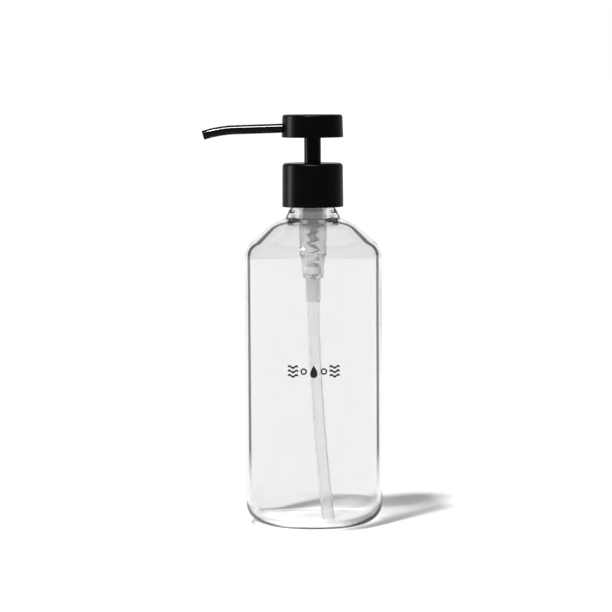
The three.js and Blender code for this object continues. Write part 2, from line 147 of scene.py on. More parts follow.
class Graph:
    """A node tree that is written as calls."""

    def __init__(self, tree: bpy.types.NodeTree) -> None:
        """Starts from an empty tree."""
        self.tree = tree
        tree.nodes.clear()

    def node(
        self,
        kind: str,
        settings: dict | None = None,
        inputs: dict | None = None,
        output: int | str = 0,
    ) -> Wire:
        """Adds a node.

        Args:
            kind: the node's type.
            settings: its settings, which are set before its inputs.
            inputs: numbers, colours or wires by the name or number of the socket.
            output: the socket to give back.

        Returns:
            That output.
        """
        made = self.tree.nodes.new(kind)
        for name, value in (settings or {}).items():
            setattr(made, name, value)
        for key, value in (inputs or {}).items():
            if isinstance(value, Wire):
                self.tree.links.new(value.socket, made.inputs[key])
            else:
                made.inputs[key].default_value = value
        return Wire(self, made.outputs[output])

    def end(self, kind: str, shader: Wire) -> None:
        """Adds the tree's output node and links the shader to it."""
        self.tree.links.new(shader.socket, self.tree.nodes.new(kind).inputs["Surface"])

    def noise(self, where: Wire, size: float, detail: float = 2.0) -> Wire:
        """Adds noise.

        Args:
            where: the coordinates, in metres.
            size: the width of its blobs in millimetres.
            detail: how many finer layers it has.

        Returns:
            A value from 0 to 1.
        """
        inputs = {"Vector": where, "Scale": 1 / (size * MM), "Detail": detail}
        return self.node("ShaderNodeTexNoise", {}, inputs)

    def stretched(self, where: Wire, share: float) -> Wire:
        """Scales the heights of the coordinates, which draws noise out or presses it along Z."""
        inputs = {0: where, 1: (1.0, 1.0, share)}
        return self.node("ShaderNodeVectorMath", {"operation": "MULTIPLY"}, inputs)

    def colours(self, share: Wire, first: Colour | Wire, second: Colour) -> Wire:
        """Mixes two colours, by the colour sockets of a Mix node.

        Args:
            share: 0 for the first colour and 1 for the second.
            first: a colour, or a wire that carries one.
            second: another colour.

        Returns:
            The mixed colour.
        """
        start = first if isinstance(first, Wire) else (*first, 1.0)
        inputs = {0: share, 6: start, 7: (*second, 1.0)}
        return self.node("ShaderNodeMix", {"data_type": "RGBA"}, inputs, output=2)

    def bump(self, height: Wire, depth: float) -> Wire:
        """Turns a height from 0 to 1 into a normal.

        Args:
            height: the relief.
            depth: how deep it is in millimetres.

        Returns:
            The normal.
        """
        inputs = {"Height": height, "Distance": depth * MM, "Strength": 1.0}
        return self.node("ShaderNodeBump", {}, inputs)

    def principled(self, **sockets: "Wire | float | Colour") -> Wire:
        """Adds a Principled shader.

        Args:
            sockets: its inputs, with _ for the spaces of their names.

        Returns:
            The shader.
        """
        inputs = {}
        for name, value in sockets.items():
            plain = name.replace("_", " ").title().replace("Ior", "IOR")
            inputs[plain] = (*value, 1.0) if isinstance(value, tuple) else value
        return self.node("ShaderNodeBsdfPrincipled", {}, inputs)

    def mixed(self, share: "Wire | float", first: Wire, second: Wire) -> Wire:
        """Mixes two shaders."""
        return self.node("ShaderNodeMixShader", {}, {0: share, 1: first, 2: second})


# ---------------------------------------------------------------- finishes


@dataclass(frozen=True)
class Finish:
    """A material that is made once and used wherever it is asked for."""

    name: str
    slot: str = ""

    @cache
    def material(self) -> bpy.types.Material:
        """Makes the finish's material, once.

        Returns:
            The material.
        """
        made = bpy.data.materials.new(self.name)
        made.use_nodes = True
        graph = Graph(made.node_tree)
        place = graph.node("ShaderNodeTexCoord", output="Object")
        graph.end("ShaderNodeOutputMaterial", self.shader(graph, place))
        return made

    def shader(self, graph: Graph, place: Wire) -> Wire:
        """Builds the surface.

        Args:
            graph: the material's nodes.
            place: the piece's own coordinates.

        Returns:
            The shader.
        """
        raise NotImplementedError


@dataclass(frozen=True)
class ClearGlass(Finish):
    """Blown soda-lime glass: faintly wavy, with a trace of green, that lets lamps through."""

    tint: Colour = (0.885, 0.89, 0.885)
    ior: float = 1.45
    ripple: float = 0.04
    ripple_size: float = 26.0
    drawn: float = 0.35
    film: float = 0.012
    film_size: float = 3.0
    shadow_clear: float = 0.83
    shadow_rim: float = 0.05
    shadow_steep: tuple[float, float] = (0.58, 0.88)
    heel_level: float = 9.0
    # painted contact shade: near the foot, the glass's colour is darkened to this share of its tint
    heel_painted_shade: float = 0.97
    heel_shadow: float = 0.08

    def heel(self, graph: Graph, place: Wire) -> Wire:
        """Gives 1 at the level of the floor, and 0 from the heel's level up."""
        return 1.0 - level_of(graph, place).step(0.0, self.heel_level * MM)

    def colour(self, graph: Graph, place: Wire) -> Wire:
        """Builds the glass's colour, greyed by a painted contact shade at the heel, near the floor.
        """
        # the tint darkened by the painted contact shade at the foot
        foot_painted_shade = shaded(self.tint, self.heel_painted_shade)
        return graph.colours(self.heel(graph, place), self.tint, foot_painted_shade)

    def shader(self, graph: Graph, place: Wire) -> Wire:
        """Builds the glass, and the shadow it casts on what is behind it.

        Args:
            graph: the material's nodes.
            place: the piece's own coordinates.

        Returns:
            The shader.
        """
        relief = graph.noise(graph.stretched(place, self.drawn), self.ripple_size, 1.0)
        glass = graph.principled(
            base_color=self.colour(graph, place),
            roughness=graph.noise(place, self.film_size, 3.0) * self.film,
            ior=self.ior,
            transmission_weight=1.0,
            normal=graph.bump(relief, self.ripple),
        )
        return graph.mixed(lamp_rays(graph), glass, self.shadow(graph, place))

    def shadow(self, graph: Graph, place: Wire) -> Wire:
        """Builds what a shadow ray meets: clear, and darker at a steep wall and at the heel.

        Args:
            graph: the material's nodes.
            place: the piece's own coordinates.

        Returns:
            The shader.
        """
        steep = steepness(graph).step(*self.shadow_steep)
        dark = 1.0 - (1.0 - steep) * (1.0 - self.heel(graph, place) * self.heel_shadow)
        return graph.mixed(dark, clear(graph, self.shadow_clear), clear(graph, self.shadow_rim))


@dataclass(frozen=True)
class PaintedLineGlass(ClearGlass):
    """The bottle's outer wall, with a painted dark line where the sight line just touches the inner
    wall.
    """

    # colour of the painted dark line, which stands in for the dark edge that refraction draws along
    # the inner wall
    line: Colour = (0.008, 0.009, 0.008)
    painted_line_start: tuple[float, float] = (0.595, 0.62)
    painted_line_end: tuple[float, float] = (0.7, 0.74)
    fade: tuple[float, float] = (14.0, 42.0)

    def colour(self, graph: Graph, place: Wire) -> Wire:
        """Builds the colour: the glass's own, with a painted dark line in a narrow band of steepness
        above the heel.

        Args:
            graph: the material's nodes.
            place: the piece's own coordinates.

        Returns:
            The colour.
        """
        steep = steepness(graph)
        # mask of the painted dark line: a band of view angle, faded in above the heel
        painted_line_band = steep.step(*self.painted_line_start) * (1.0 - steep.step(*self.painted_line_end))
        above = level_of(graph, place).step(self.fade[0] * MM, self.fade[1] * MM)
        return graph.colours(painted_line_band * above, super().colour(graph, place), self.line)


@dataclass(frozen=True)
class MilkyPlastic(Finish):
    """Unpigmented polypropylene: see-through with a haze, faint flow marks, and a painted shade that
    darkens it at grazing edges.
    """

    tint: Colour = (0.94, 0.945, 0.94)
    # painted shade: the share of the tint that is left where the sight line grazes the surface
    painted_edge_shade: float = 0.5
    painted_edge_steep: tuple[float, float] = (0.5, 0.95)
    haze: float = 0.1
    ior: float = 1.46
    roughness: float = 0.12
    flow_size: float = 1.6
    flow_drawn: float = 0.15
    flow_shade: float = 0.08
    flow_roughness: float = 0.04
    flow_depth: float = 0.004
    shadow_clear: float = 0.85

    def shader(self, graph: Graph, place: Wire) -> Wire:
        """Builds the hazy plastic.

        Args:
            graph: the material's nodes.
            place: the piece's own coordinates.

        Returns:
            The shader.
        """
        flow = graph.noise(graph.stretched(place, self.flow_drawn), self.flow_size, 3.0)
        # painted shade at grazing edges, plus the real tone of the flow marks
        painted_edge_shade_and_flow = steepness(graph).step(*self.painted_edge_steep) + (1.0 - flow) * self.flow_shade
        plastic = graph.principled(
            base_color=graph.colours(painted_edge_shade_and_flow, self.tint, shaded(self.tint, self.painted_edge_shade)),
            roughness=self.roughness + flow * self.flow_roughness,
            ior=self.ior,
            transmission_weight=1.0 - self.haze,
            normal=graph.bump(flow, self.flow_depth),
        )
        return graph.mixed(lamp_rays(graph), plastic, clear(graph, self.shadow_clear))


@dataclass(frozen=True)
class Moulded(Finish):
    """Solid moulded plastic or rubber with a fine moulded grain."""

    colour: Colour = (0.8, 0.8, 0.78)
    roughness: float = 0.42
    grain: float = 0.35
    depth: float = 0.008
    subsurface: float = 0.0
    cloud: float = 6.0
    cloud_shade: float = 0.93
    uneven: float = 0.1

    def shader(self, graph: Graph, place: Wire) -> Wire:
        """Builds the moulded surface.

        Args:
            graph: the material's nodes.
            place: the piece's own coordinates.

        Returns:
            The shader.
        """
        cloud = graph.noise(place, self.cloud, 2.0)
        return graph.principled(
            base_color=graph.colours(cloud, shaded(self.colour, self.cloud_shade), self.colour),
            roughness=self.roughness - self.uneven / 2 + cloud * self.uneven,
            subsurface_weight=self.subsurface,
            subsurface_scale=MM,
            normal=graph.bump(graph.noise(place, self.grain, 3.0), self.depth),
        )


@dataclass(frozen=True)
class Coated(Finish):
    """Black coating on metal: a fine orange peel, with slightly worn and dusty patches."""

    colour: Colour = (0.001, 0.001, 0.0011)
    roughness: float = 0.3
    specular: float = 0.036
    peel: float = 0.22
    depth: float = 0.002
    patch: float = 7.0
    uneven: float = 0.06
    dust: Colour = (0.03, 0.03, 0.03)
    dust_size: float = 0.5
    dust_specks: tuple[float, float] = (0.72, 0.8)
    dust_patches: tuple[float, float] = (0.5, 0.75)
    dust_share: float = 0.35
    dust_roughness: float = 0.1

    def shader(self, graph: Graph, place: Wire) -> Wire:
        """Builds the coating.

        Args:
            graph: the material's nodes.
            place: the piece's own coordinates.

        Returns:
            The shader.
        """
        patch = graph.noise(place, self.patch, 4.0)
        specks = graph.noise(place, self.dust_size, 5.0).step(*self.dust_specks)
        dust = specks * patch.step(*self.dust_patches)
        worn = self.roughness - self.uneven / 2 + patch * self.uneven
        return graph.principled(
            base_color=graph.colours(dust * self.dust_share, self.colour, self.dust),
            roughness=worn + dust * self.dust_roughness,
            specular_ior_level=self.specular,
            normal=graph.bump(graph.noise(place, self.peel, 2.0), self.depth),
        )


@dataclass(frozen=True)
class DrawnSteel(Finish):
    """Bright spring wire with fine drawing marks."""

    colour: Colour = (0.42, 0.42, 0.43)
    marks: float = 0.6
    marks_drawn: float = 6.0
    marks_shade: float = 0.7
    marks_roughness: float = 0.16
    marks_depth: float = 0.004
    roughness: float = 0.22

    def shader(self, graph: Graph, place: Wire) -> Wire:
        """Builds the wire's surface.

        Args:
            graph: the material's nodes.
            place: the piece's own coordinates.

        Returns:
            The shader.
        """
        marks = graph.noise(graph.stretched(place, self.marks_drawn), self.marks, 4.0)
        return graph.principled(
            base_color=graph.colours(marks, shaded(self.colour, self.marks_shade), self.colour),
            metallic=1.0,
            roughness=self.roughness + marks * self.marks_roughness,
            normal=graph.bump(marks, self.marks_depth),
        )


@dataclass(frozen=True)
class Ink(Finish):
    """Screen-printed black ink: matt, with a faint mesh and a few thin spots."""

    colour: Colour = (0.004, 0.004, 0.004)
    worn: Colour = (0.03, 0.03, 0.03)
    worn_share: float = 0.3
    worn_size: float = 0.9
    worn_spots: tuple[float, float] = (0.66, 0.8)
    mesh: float = 0.12
    mesh_roughness: float = 0.15
    mesh_depth: float = 0.004
    roughness: float = 0.5
    specular: float = 0.3

    def shader(self, graph: Graph, place: Wire) -> Wire:
        """Builds the ink.

        Args:
            graph: the material's nodes.
            place: the piece's own coordinates.

        Returns:
            The shader.
        """
        mesh = graph.noise(place, self.mesh, 2.0)
        thin = graph.noise(place, self.worn_size, 4.0).step(*self.worn_spots)
        return graph.principled(
            base_color=graph.colours(thin * self.worn_share, self.colour, self.worn),
            roughness=self.roughness + mesh * self.mesh_roughness,
            specular_ior_level=self.specular,
            normal=graph.bump(mesh, self.mesh_depth),
        )


@dataclass(frozen=True)
class PaleFloor(Finish):
    """A matt, nearly white floor with a mottle that is barely seen."""

    white: float = 0.84
    mottle: float = 35.0
    mottle_shade: float = 0.995

    def shader(self, graph: Graph, place: Wire) -> Wire:
        """Builds the floor's surface.

        Args:
            graph: the material's nodes.
            place: the piece's own coordinates.

        Returns:
            The shader.
        """
        white = (self.white, self.white, self.white)
        mottle = graph.noise(place, self.mottle, 3.0)
        return graph.principled(
            base_color=graph.colours(mottle, shaded(white, self.mottle_shade), white),
            roughness=1.0,
            specular_ior_level=0.0,
        )


def lamp_rays(graph: Graph) -> Wire:
    """Gives 1 for the rays that look for lamps, and 0 for the others."""
    return graph.node("ShaderNodeLightPath", output="Is Shadow Ray")


def steepness(graph: Graph) -> Wire:
    """Gives 0 where the surface faces the ray, and 1 where the ray grazes it."""
    return graph.node("ShaderNodeLayerWeight", {}, {"Blend": 0.5}, "Facing")


def level_of(graph: Graph, place: Wire) -> Wire:
    """Gives a place's height in metres."""
    return graph.node("ShaderNodeSeparateXYZ", {}, {0: place}, output="Z")


def clear(graph: Graph, share: float) -> Wire:
    """Builds a clear surface that lets a share of the light through."""
    return graph.node("ShaderNodeBsdfTransparent", {}, {"Color": (share, share, share, 1.0)})


def shaded(colour: Colour, share: float) -> Colour:
    """Darkens a colour to a share of itself."""
    return (colour[0] * share, colour[1] * share, colour[2] * share)


GLASS = ClearGlass("clear_glass", "bottle_glass")
OUTER = PaintedLineGlass("outer_glass", "bottle_glass")
BALL = ClearGlass(
    "ball_of_glass", "ball_glass", tint=(0.9, 0.96, 0.93), ripple_size=4.0, heel_painted_shade=1.0
)
MILKY = MilkyPlastic("milky_barrel", "milky_plastic")
TUBE = MilkyPlastic(
    "milky_tube", "tube_plastic", (0.965, 0.968, 0.965), painted_edge_shade=0.55, haze=0.07, roughness=0.08
)
WHITE = Moulded("white_moulding", "white_plastic", subsurface=0.1)
SEAL = Moulded(
    "seal_rubber", "soft_seal", (0.86, 0.86, 0.83), roughness=0.6, grain=0.25, depth=0.02
)
BLACK = Moulded("black_moulding", "black_plastic", (0.012, 0.012, 0.013), roughness=0.45)
SATIN = Coated("satin_black", "satin_black_metal")
GLOSS = Coated(
    "gloss_black", "gloss_black_metal", roughness=0.08, specular=0.1, depth=0.0006, patch=12.0
)
STEEL = DrawnSteel("wire_steel", "spring_steel")
INK = Ink("print_ink", "black_plastic")
FLOOR = PaleFloor("pale_floor")


# ---------------------------------------------------------------- mesh toolkit


@dataclass(frozen=True)
class Corner:
    """A corner of an outline: its radius, its level and the fillet that rounds it."""

    radius: float
    level: float
    fillet: float = 0.0


@dataclass(frozen=True)
class Span:
    """Where a node is at rest: its lowest and highest level and its radius, in millimetres."""

    bottom: float
    top: float
    radius: float

    @classmethod
    def of(cls, node: str) -> "Span":
        """Measures a node of the frame."""
        low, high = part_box(node)
        return cls(low.z / MM, high.z / MM, high.y / MM)


class Path:
    """A line through points, with a frame at any length along it."""

    def __init__(self, points: Iterable[Vector]) -> None:
        """Measures the line and carries a frame along it without twist.

        Args:
            points: places in millimetres.
        """
        self.points = list(points)
        gaps = [(b - a).length for a, b in zip(self.points, self.points[1:])]
        self.lengths = [0.0, *accumulate(gaps)]
        ends = zip([self.points[0], *self.points], [*self.points[1:], self.points[-1]])
        self.aims = [(b - a).normalized() for a, b in list(ends)[: len(self.points)]]
        side = self.aims[0].orthogonal().normalized()
        self.sides = []
        for aim in self.aims:
            side = (side - aim * side.dot(aim)).normalized()
            self.sides.append(side)

    @property
    def length(self) -> float:
        """The line's whole length."""
        return self.lengths[-1]

    def frame(self, along: float) -> tuple[Vector, Vector, Vector]:
        """Finds a place on the line.

        Args:
            along: the length to it from the start.

        Returns:
            The place and two directions across the line.
        """
        index = 0
        while index < len(self.lengths) - 2 and self.lengths[index + 1] < along:
            index += 1
        span = self.lengths[index + 1] - self.lengths[index]
        share = (along - self.lengths[index]) / span
        point = self.points[index].lerp(self.points[index + 1], share)
        aim = self.aims[index].lerp(self.aims[index + 1], share).normalized()
        side = self.sides[index].lerp(self.sides[index + 1], share)
        side = (side - aim * side.dot(aim)).normalized()
        return point, side, aim.cross(side)


class Upright:
    """The Z axis, with the same frame at every level."""

    def frame(self, along: float) -> tuple[Vector, Vector, Vector]:
        """Gives the place at a level, and X and Y."""
        return Vector((0, 0, along)), Vector((1, 0, 0)), Vector((0, 1, 0))


Relief = Callable[[float, float, float], float]


def outline(corners: Sequence[Corner], arc_step: float = 12.0) -> list[Vector]:
    """Rounds the corners of a closed outline.

    Args:
        corners: they run up the outside and down the inside.
        arc_step: the turn of one step of a fillet, in degrees.

    Returns:
        Points of radius and level. The last isn't the first again.
    """
    places = [Vector((corner.radius, corner.level)) for corner in corners]
    points = []
    for index, corner in enumerate(corners):
        here = places[index]
        if corner.fillet == 0:
            points.append(here)
            continue
        back = (places[index - 1] - here).normalized()
        onward = (places[(index + 1) % len(places)] - here).normalized()
        half = back.angle(onward) / 2
        middle = here + (back + onward).normalized() * (corner.fillet / math.sin(half))
        reach = corner.fillet / math.tan(half)
        first = here + back * reach - middle
        last = here + onward * reach - middle
        sweep = math.atan2(first.x * last.y - first.y * last.x, first.dot(last))
        steps = max(2, math.ceil(math.degrees(abs(sweep)) / arc_step))
        for step in range(steps + 1):
            turn = sweep * step / steps
            cos, sin = math.cos(turn), math.sin(turn)
            spoke = (first.x * cos - first.y * sin, first.x * sin + first.y * cos)
            points.append(middle + Vector(spoke))
    return points


def supported(points: Sequence[Vector], longest: float, margin: float = 0.3) -> list[Vector]:
    """Adds points on the straight stretches, so that smooth shading keeps them straight.

    Args:
        points: a closed outline.
        longest: the longest step to leave, in millimetres.
        margin: how near to each end of a stretch its first point stands.

    Returns:
        The outline with the added points.
    """
    result = []
    for here, onward in zip(points, [*points[1:], points[0]]):
        result.append(here)
        length = (onward - here).length
        if here.x <= 0 and onward.x <= 0:
            continue
        if length < 3 * margin:
            continue
        inner = length - 2 * margin
        steps = max(1, math.ceil(inner / longest))
        for step in range(steps + 1):
            result.append(here.lerp(onward, (margin + inner * step / steps) / length))
    return result


def web(
    name: str, rows: Sequence[Sequence[Vector]], closed: bool = False, capped: bool = True
) -> bpy.types.Object:
    """Makes a mesh of rings.

    Args:
        name: the piece's name.
        rows: rings of points in millimetres, each with as many points.
        closed: whether the last ring joins the first.
        capped: whether the two end rings are filled when they don't join.

    Returns:
        The smooth piece, with its normals outwards.
    """
    mesh = bmesh.new()
    verts = [[mesh.verts.new(point * MM) for point in row] for row in rows]
    pairs = list(zip(verts, [*verts[1:], verts[0]] if closed else verts[1:]))
    for lower, upper in pairs:
        for index in range(len(lower)):
            ahead = (index + 1) % len(lower)
            mesh.faces.new((lower[index], lower[ahead], upper[ahead], upper[index]))
    if capped and not closed:
        mesh.faces.new(verts[0])
        mesh.faces.new(verts[-1])
    bmesh.ops.remove_doubles(mesh, verts=mesh.verts, dist=1e-7)
    bmesh.ops.recalc_face_normals(mesh, faces=mesh.faces)
    data = bpy.data.meshes.new(name)
    mesh.to_mesh(data)
    mesh.free()
    data.shade_smooth()
    data.set_sharp_from_angle(angle=SHARP)
    made = bpy.data.objects.new(name, data)
    bpy.context.collection.objects.link(made)
    return made


def turned(
    name: str,
    corners: Sequence[Corner],
    axis: Path | Upright | None = None,
    facets: int = 128,
    longest: float = 8.0,
    relief: Relief | None = None,
    arc_step: float = 12.0,
) -> bpy.types.Object:
    """Turns an outline about an axis, which may bend.

    Args:
        name: the piece's name.
        corners: the closed outline. Its levels run along the axis.
        axis: the middle line, or None for the Z axis.
        facets: steps round the axis.
        longest: the longest step along the outline.
        relief: gives what is added to the radius, from angle, radius and level.
        arc_step: the turn of one step of a fillet, in degrees.

    Returns:
        The piece.
    """
    line = axis or Upright()
    rows = []
    for point in supported(outline(corners, arc_step), longest):
        place, side, up = line.frame(point.y)
        row = []
        for facet in range(facets):
            angle = TURN * facet / facets
            extra = relief(angle, point.x, point.y) if relief else 0.0
            reach = max(point.x, 0.0) + extra
            row.append(place + side * (reach * math.cos(angle)) + up * (reach * math.sin(angle)))
        rows.append(row)
    return web(name, rows, closed=True)


def tubular(
    bore: float, radius: float, bottom: float, top: float, *fillets: float
) -> list[Corner]:
    """Draws the outline of a plain tube, or of a bar when its bore is 0.

    Args:
        bore: its inner radius.
        radius: its outer radius.
        bottom: the level of its lower end.
        top: the level of its upper end.
        fillets: of its corners, from the inner lower one up the outside to the inner upper one.

    Returns:
        The corners.
    """
    places = ((bore, bottom), (radius, bottom), (radius, top), (bore, top))
    return [Corner(*place, fillet) for place, fillet in zip(places, fillets)]


def bar(radius: float, line: Path, facets: int = 48) -> bpy.types.Object:
    """Makes a round bar along a line, to add to a piece or to cut out of it."""
    corners = tubular(0, radius, 0, line.length, 0, 0, 0, 0)
    return turned("bar", corners, line, facets, longest=2.0)


def block(low: Vector, high: Vector, turn: float = 0.0) -> bpy.types.Object:
    """Makes a block, to cut out of a piece.

    Args:
        low: its lowest corner, in millimetres.
        high: its highest corner.
        turn: how far it is then turned about the Z axis.

    Returns:
        The block.
    """
    cos, sin = math.cos(turn), math.sin(turn)
    plan = [(low.x, low.y), (high.x, low.y), (high.x, high.y), (low.x, high.y)]
    rows = []
    for level in (low.z, high.z):
        rows.append([Vector((x * cos - y * sin, x * sin + y * cos, level)) for x, y in plan])
    return web("block", rows)


def shaped(
    piece: bpy.types.Object,
    removed: Sequence[bpy.types.Object],
    added: Sequence[bpy.types.Object] = (),
) -> bpy.types.Object:
    """Adds some shapes to a piece and then cuts others out of it.

    Args:
        piece: a closed piece.
        removed: what is cut out. They are used up.
        added: what is joined on first. They are used up too.

    Returns:
        The same piece.
    """
    for operation, tools in (("UNION", added), ("DIFFERENCE", removed)):
        for tool in tools:
            modifier = piece.modifiers.new(operation, "BOOLEAN")
            modifier.operation = operation
            modifier.solver = "EXACT"
            modifier.object = tool
    seen = piece.evaluated_get(bpy.context.evaluated_depsgraph_get())
    piece.data = bpy.data.meshes.new_from_object(seen)
    piece.data.name = piece.name
    piece.modifiers.clear()
    for tool in (*added, *removed):
        bpy.data.objects.remove(tool)
    piece.data.set_sharp_from_angle(angle=SHARP)
    return piece


@dataclass(frozen=True)
class Thread:
    """A screw thread's trapezoid, as relief on a turned wall."""

    bottom: float
    turns: float
    pitch: float = 4.233
    depth: float = 1.45
    root: float = 2.2
    crest: float = 1.1
    fade: float = 0.08

    def relief(self, angle: float, level: float) -> float:
        """Measures the thread.

        Args:
            angle: round the axis.
            level: along it, in millimetres.

        Returns:
            How far the thread stands out there.
        """
        height = 0.0
        for lap in range(math.ceil(self.turns) + 1):
            along = (angle / TURN + lap) / self.turns
            if not 0 <= along <= 1:
                continue
            away = abs(level - self.bottom - along * self.turns * self.pitch)
            slope = (self.root / 2 - away) / (self.root / 2 - self.crest / 2)
            end = min(1.0, min(along, 1 - along) / self.fade)
            height = max(height, self.depth * end * min(1.0, max(0.0, slope)))
        return height


def inside(before: Corner, here: Corner, after: Corner, wall: float) -> Corner:
    """Offsets a corner of an outline to the inner side of a wall.

    Args:
        before: the corner before it, on the way up the outside.
        here: the corner.
        after: the corner after it.
        wall: the wall's thickness.

    Returns:
        The inner wall's corner, with no fillet.
    """
    normals = []
    for first, last in ((before, here), (here, after)):
        way = Vector((last.radius - first.radius, last.level - first.level)).normalized()
        normals.append(Vector((-way.y, way.x)))
    shift = (normals[0] + normals[1]) * (wall / (1 + normals[0].dot(normals[1])))
    return Corner(here.radius + shift.x, here.level + shift.y)


class Body(Enum):
    """The frame's moving bodies."""

    BOTTLE = "bottle"
    PUMP = "pump_body"
    CLOSURE = "closure"
    PLUNGER = "plunger"
    PISTON = "piston"
    HEAD = "head"
    BALL = "ball"


def dress(
    piece: bpy.types.Object, body: Body, finish: Finish, *nodes: str
) -> bpy.types.Object:
    """Finishes a piece and hangs it on its body.

    Args:
        piece: a made piece, in its place.
        body: what it moves with.
        finish: its material.
        nodes: the frame's nodes that it stands for.

    Returns:
        The same piece.
    """
    piece.data.materials.append(finish.material())
    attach(piece, body.value)
    if nodes:
        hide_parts(*nodes)
    LOG.info("%s: %d faces on %s", piece.name, len(piece.data.polygons), body.value)
    return piece


# ---------------------------------------------------------------- bottle


@dataclass
class Bottle:
    """The blown bottle and the mark printed on its front."""

    wall: float = 2.3
    base: float = 3.2
    push_up: float = 0.3
    hollow: float = 15.5
    foot: float = 24.3
    floor_edge: float = 17.5
    heel: float = 11.0
    cone_foot: float = 147.7
    shoulder: float = 10.0
    shelf_radius: float = 21.6
    shelf_level: float = 160.8
    shelf_fillet: float = 17.0
    neck_root: float = 163.6
    flare: float = 14.2
    flare_lean: float = 0.4
    flare_rise: float = 1.8
    flare_length: float = 3.4
    neck: float = 12.0
    bore: float = 9.7
    lip_fillet: float = 0.8
    thread: Thread = Thread(bottom=175.45, turns=1.5)
    unevenness: float = 0.16
    even_ends: float = 1500.0  # the smaller, the nearer the unevenness comes to both ends
    waves: tuple[tuple[int, float, float, float], ...] = (
        (2, 46.0, 1.0, 0.0),
        (3, -31.0, 0.6, 1.1),
        (7, 60.0, 0.3, 0.0),
    )
    inward: float = -0.2
    facets: int = 176
    longest: float = 1.2
    arc_step: float = 4.0
    span: Span = field(default_factory=lambda: Span.of("glass_bottle"))

    def relief(self, angle: float, radius: float, level: float) -> float:
        """Measures the glass's relief: the thread outside and the blown wall's unevenness inside.

        Args:
            angle: round the axis.
            radius: of the plain outline.
            level: of the plain outline.

        Returns:
            What is added to the radius.
        """
        if abs(radius - self.neck) < CLOSE:
            return self.thread.relief(angle, level)
        if abs(radius - self.span.radius + self.wall) > CLOSE:
            return 0.0
        room = (level - self.base - self.heel) * (self.cone_foot - self.shoulder - level)
        swell = min(1.0, max(0.0, room / self.even_ends))
        height = 0.0
        for laps, drift, share, start in self.waves:
            height += share * math.sin(laps * angle + level / drift + start)
        return self.unevenness * swell * height / 2

    def blow(self) -> bpy.types.Object:
        """Makes the bottle's glass.

        Returns:
            The piece.
        """
        outer = self.span.radius
        inner = outer - self.wall
        flare_level = self.neck_root + self.flare_rise
        heel = Corner(outer, 0, self.heel)
        cone = Corner(outer, self.cone_foot, self.shoulder)
        shelf = Corner(self.shelf_radius, self.shelf_level, self.shelf_fillet)
        root = Corner(self.flare + self.flare_lean, self.neck_root, 0.7)
        inner_cone = inside(heel, cone, shelf, self.wall)
        inner_shelf = inside(cone, shelf, root, self.wall)
        slope = (root.level - shelf.level) / (shelf.radius - root.radius)
        inner_root = inner_shelf.level + (inner_shelf.radius - self.bore) * slope
        corners = [
            Corner(0, self.push_up),
            Corner(self.hollow, self.push_up, 20),
            Corner(self.foot, 0, 3),
            heel,
            cone,
            shelf,
            root,
            Corner(self.flare, flare_level, 1.5),
            Corner(self.neck, flare_level + self.flare_length, 1.5),
            Corner(self.neck, self.span.top, self.lip_fillet),
            Corner(self.bore, self.span.top, self.lip_fillet),
            Corner(self.bore, inner_root, 3),
            replace(inner_shelf, fillet=self.shelf_fillet * 0.8),
            replace(inner_cone, fillet=self.shoulder),
            Corner(inner, self.base, self.heel - self.wall),
            Corner(self.floor_edge, self.base, 10),
            Corner(0, self.base + self.push_up * 0.8),
        ]
        return turned(
            "blown_bottle", corners, None, self.facets, self.longest, self.relief, self.arc_step
        )

    def make(self) -> None:
        """Makes the bottle, with plain glass on its inner side, and its print."""
        bottle = dress(self.blow(), Body.BOTTLE, OUTER, "glass_bottle")
        bottle.data.materials.append(GLASS.material())
        for face in bottle.data.polygons:
            outwards = Vector((face.center.x, face.center.y, 0)).normalized()
            face.material_index = int(face.normal.dot(outwards) < self.inward)
        Mark(self.span.radius).make()


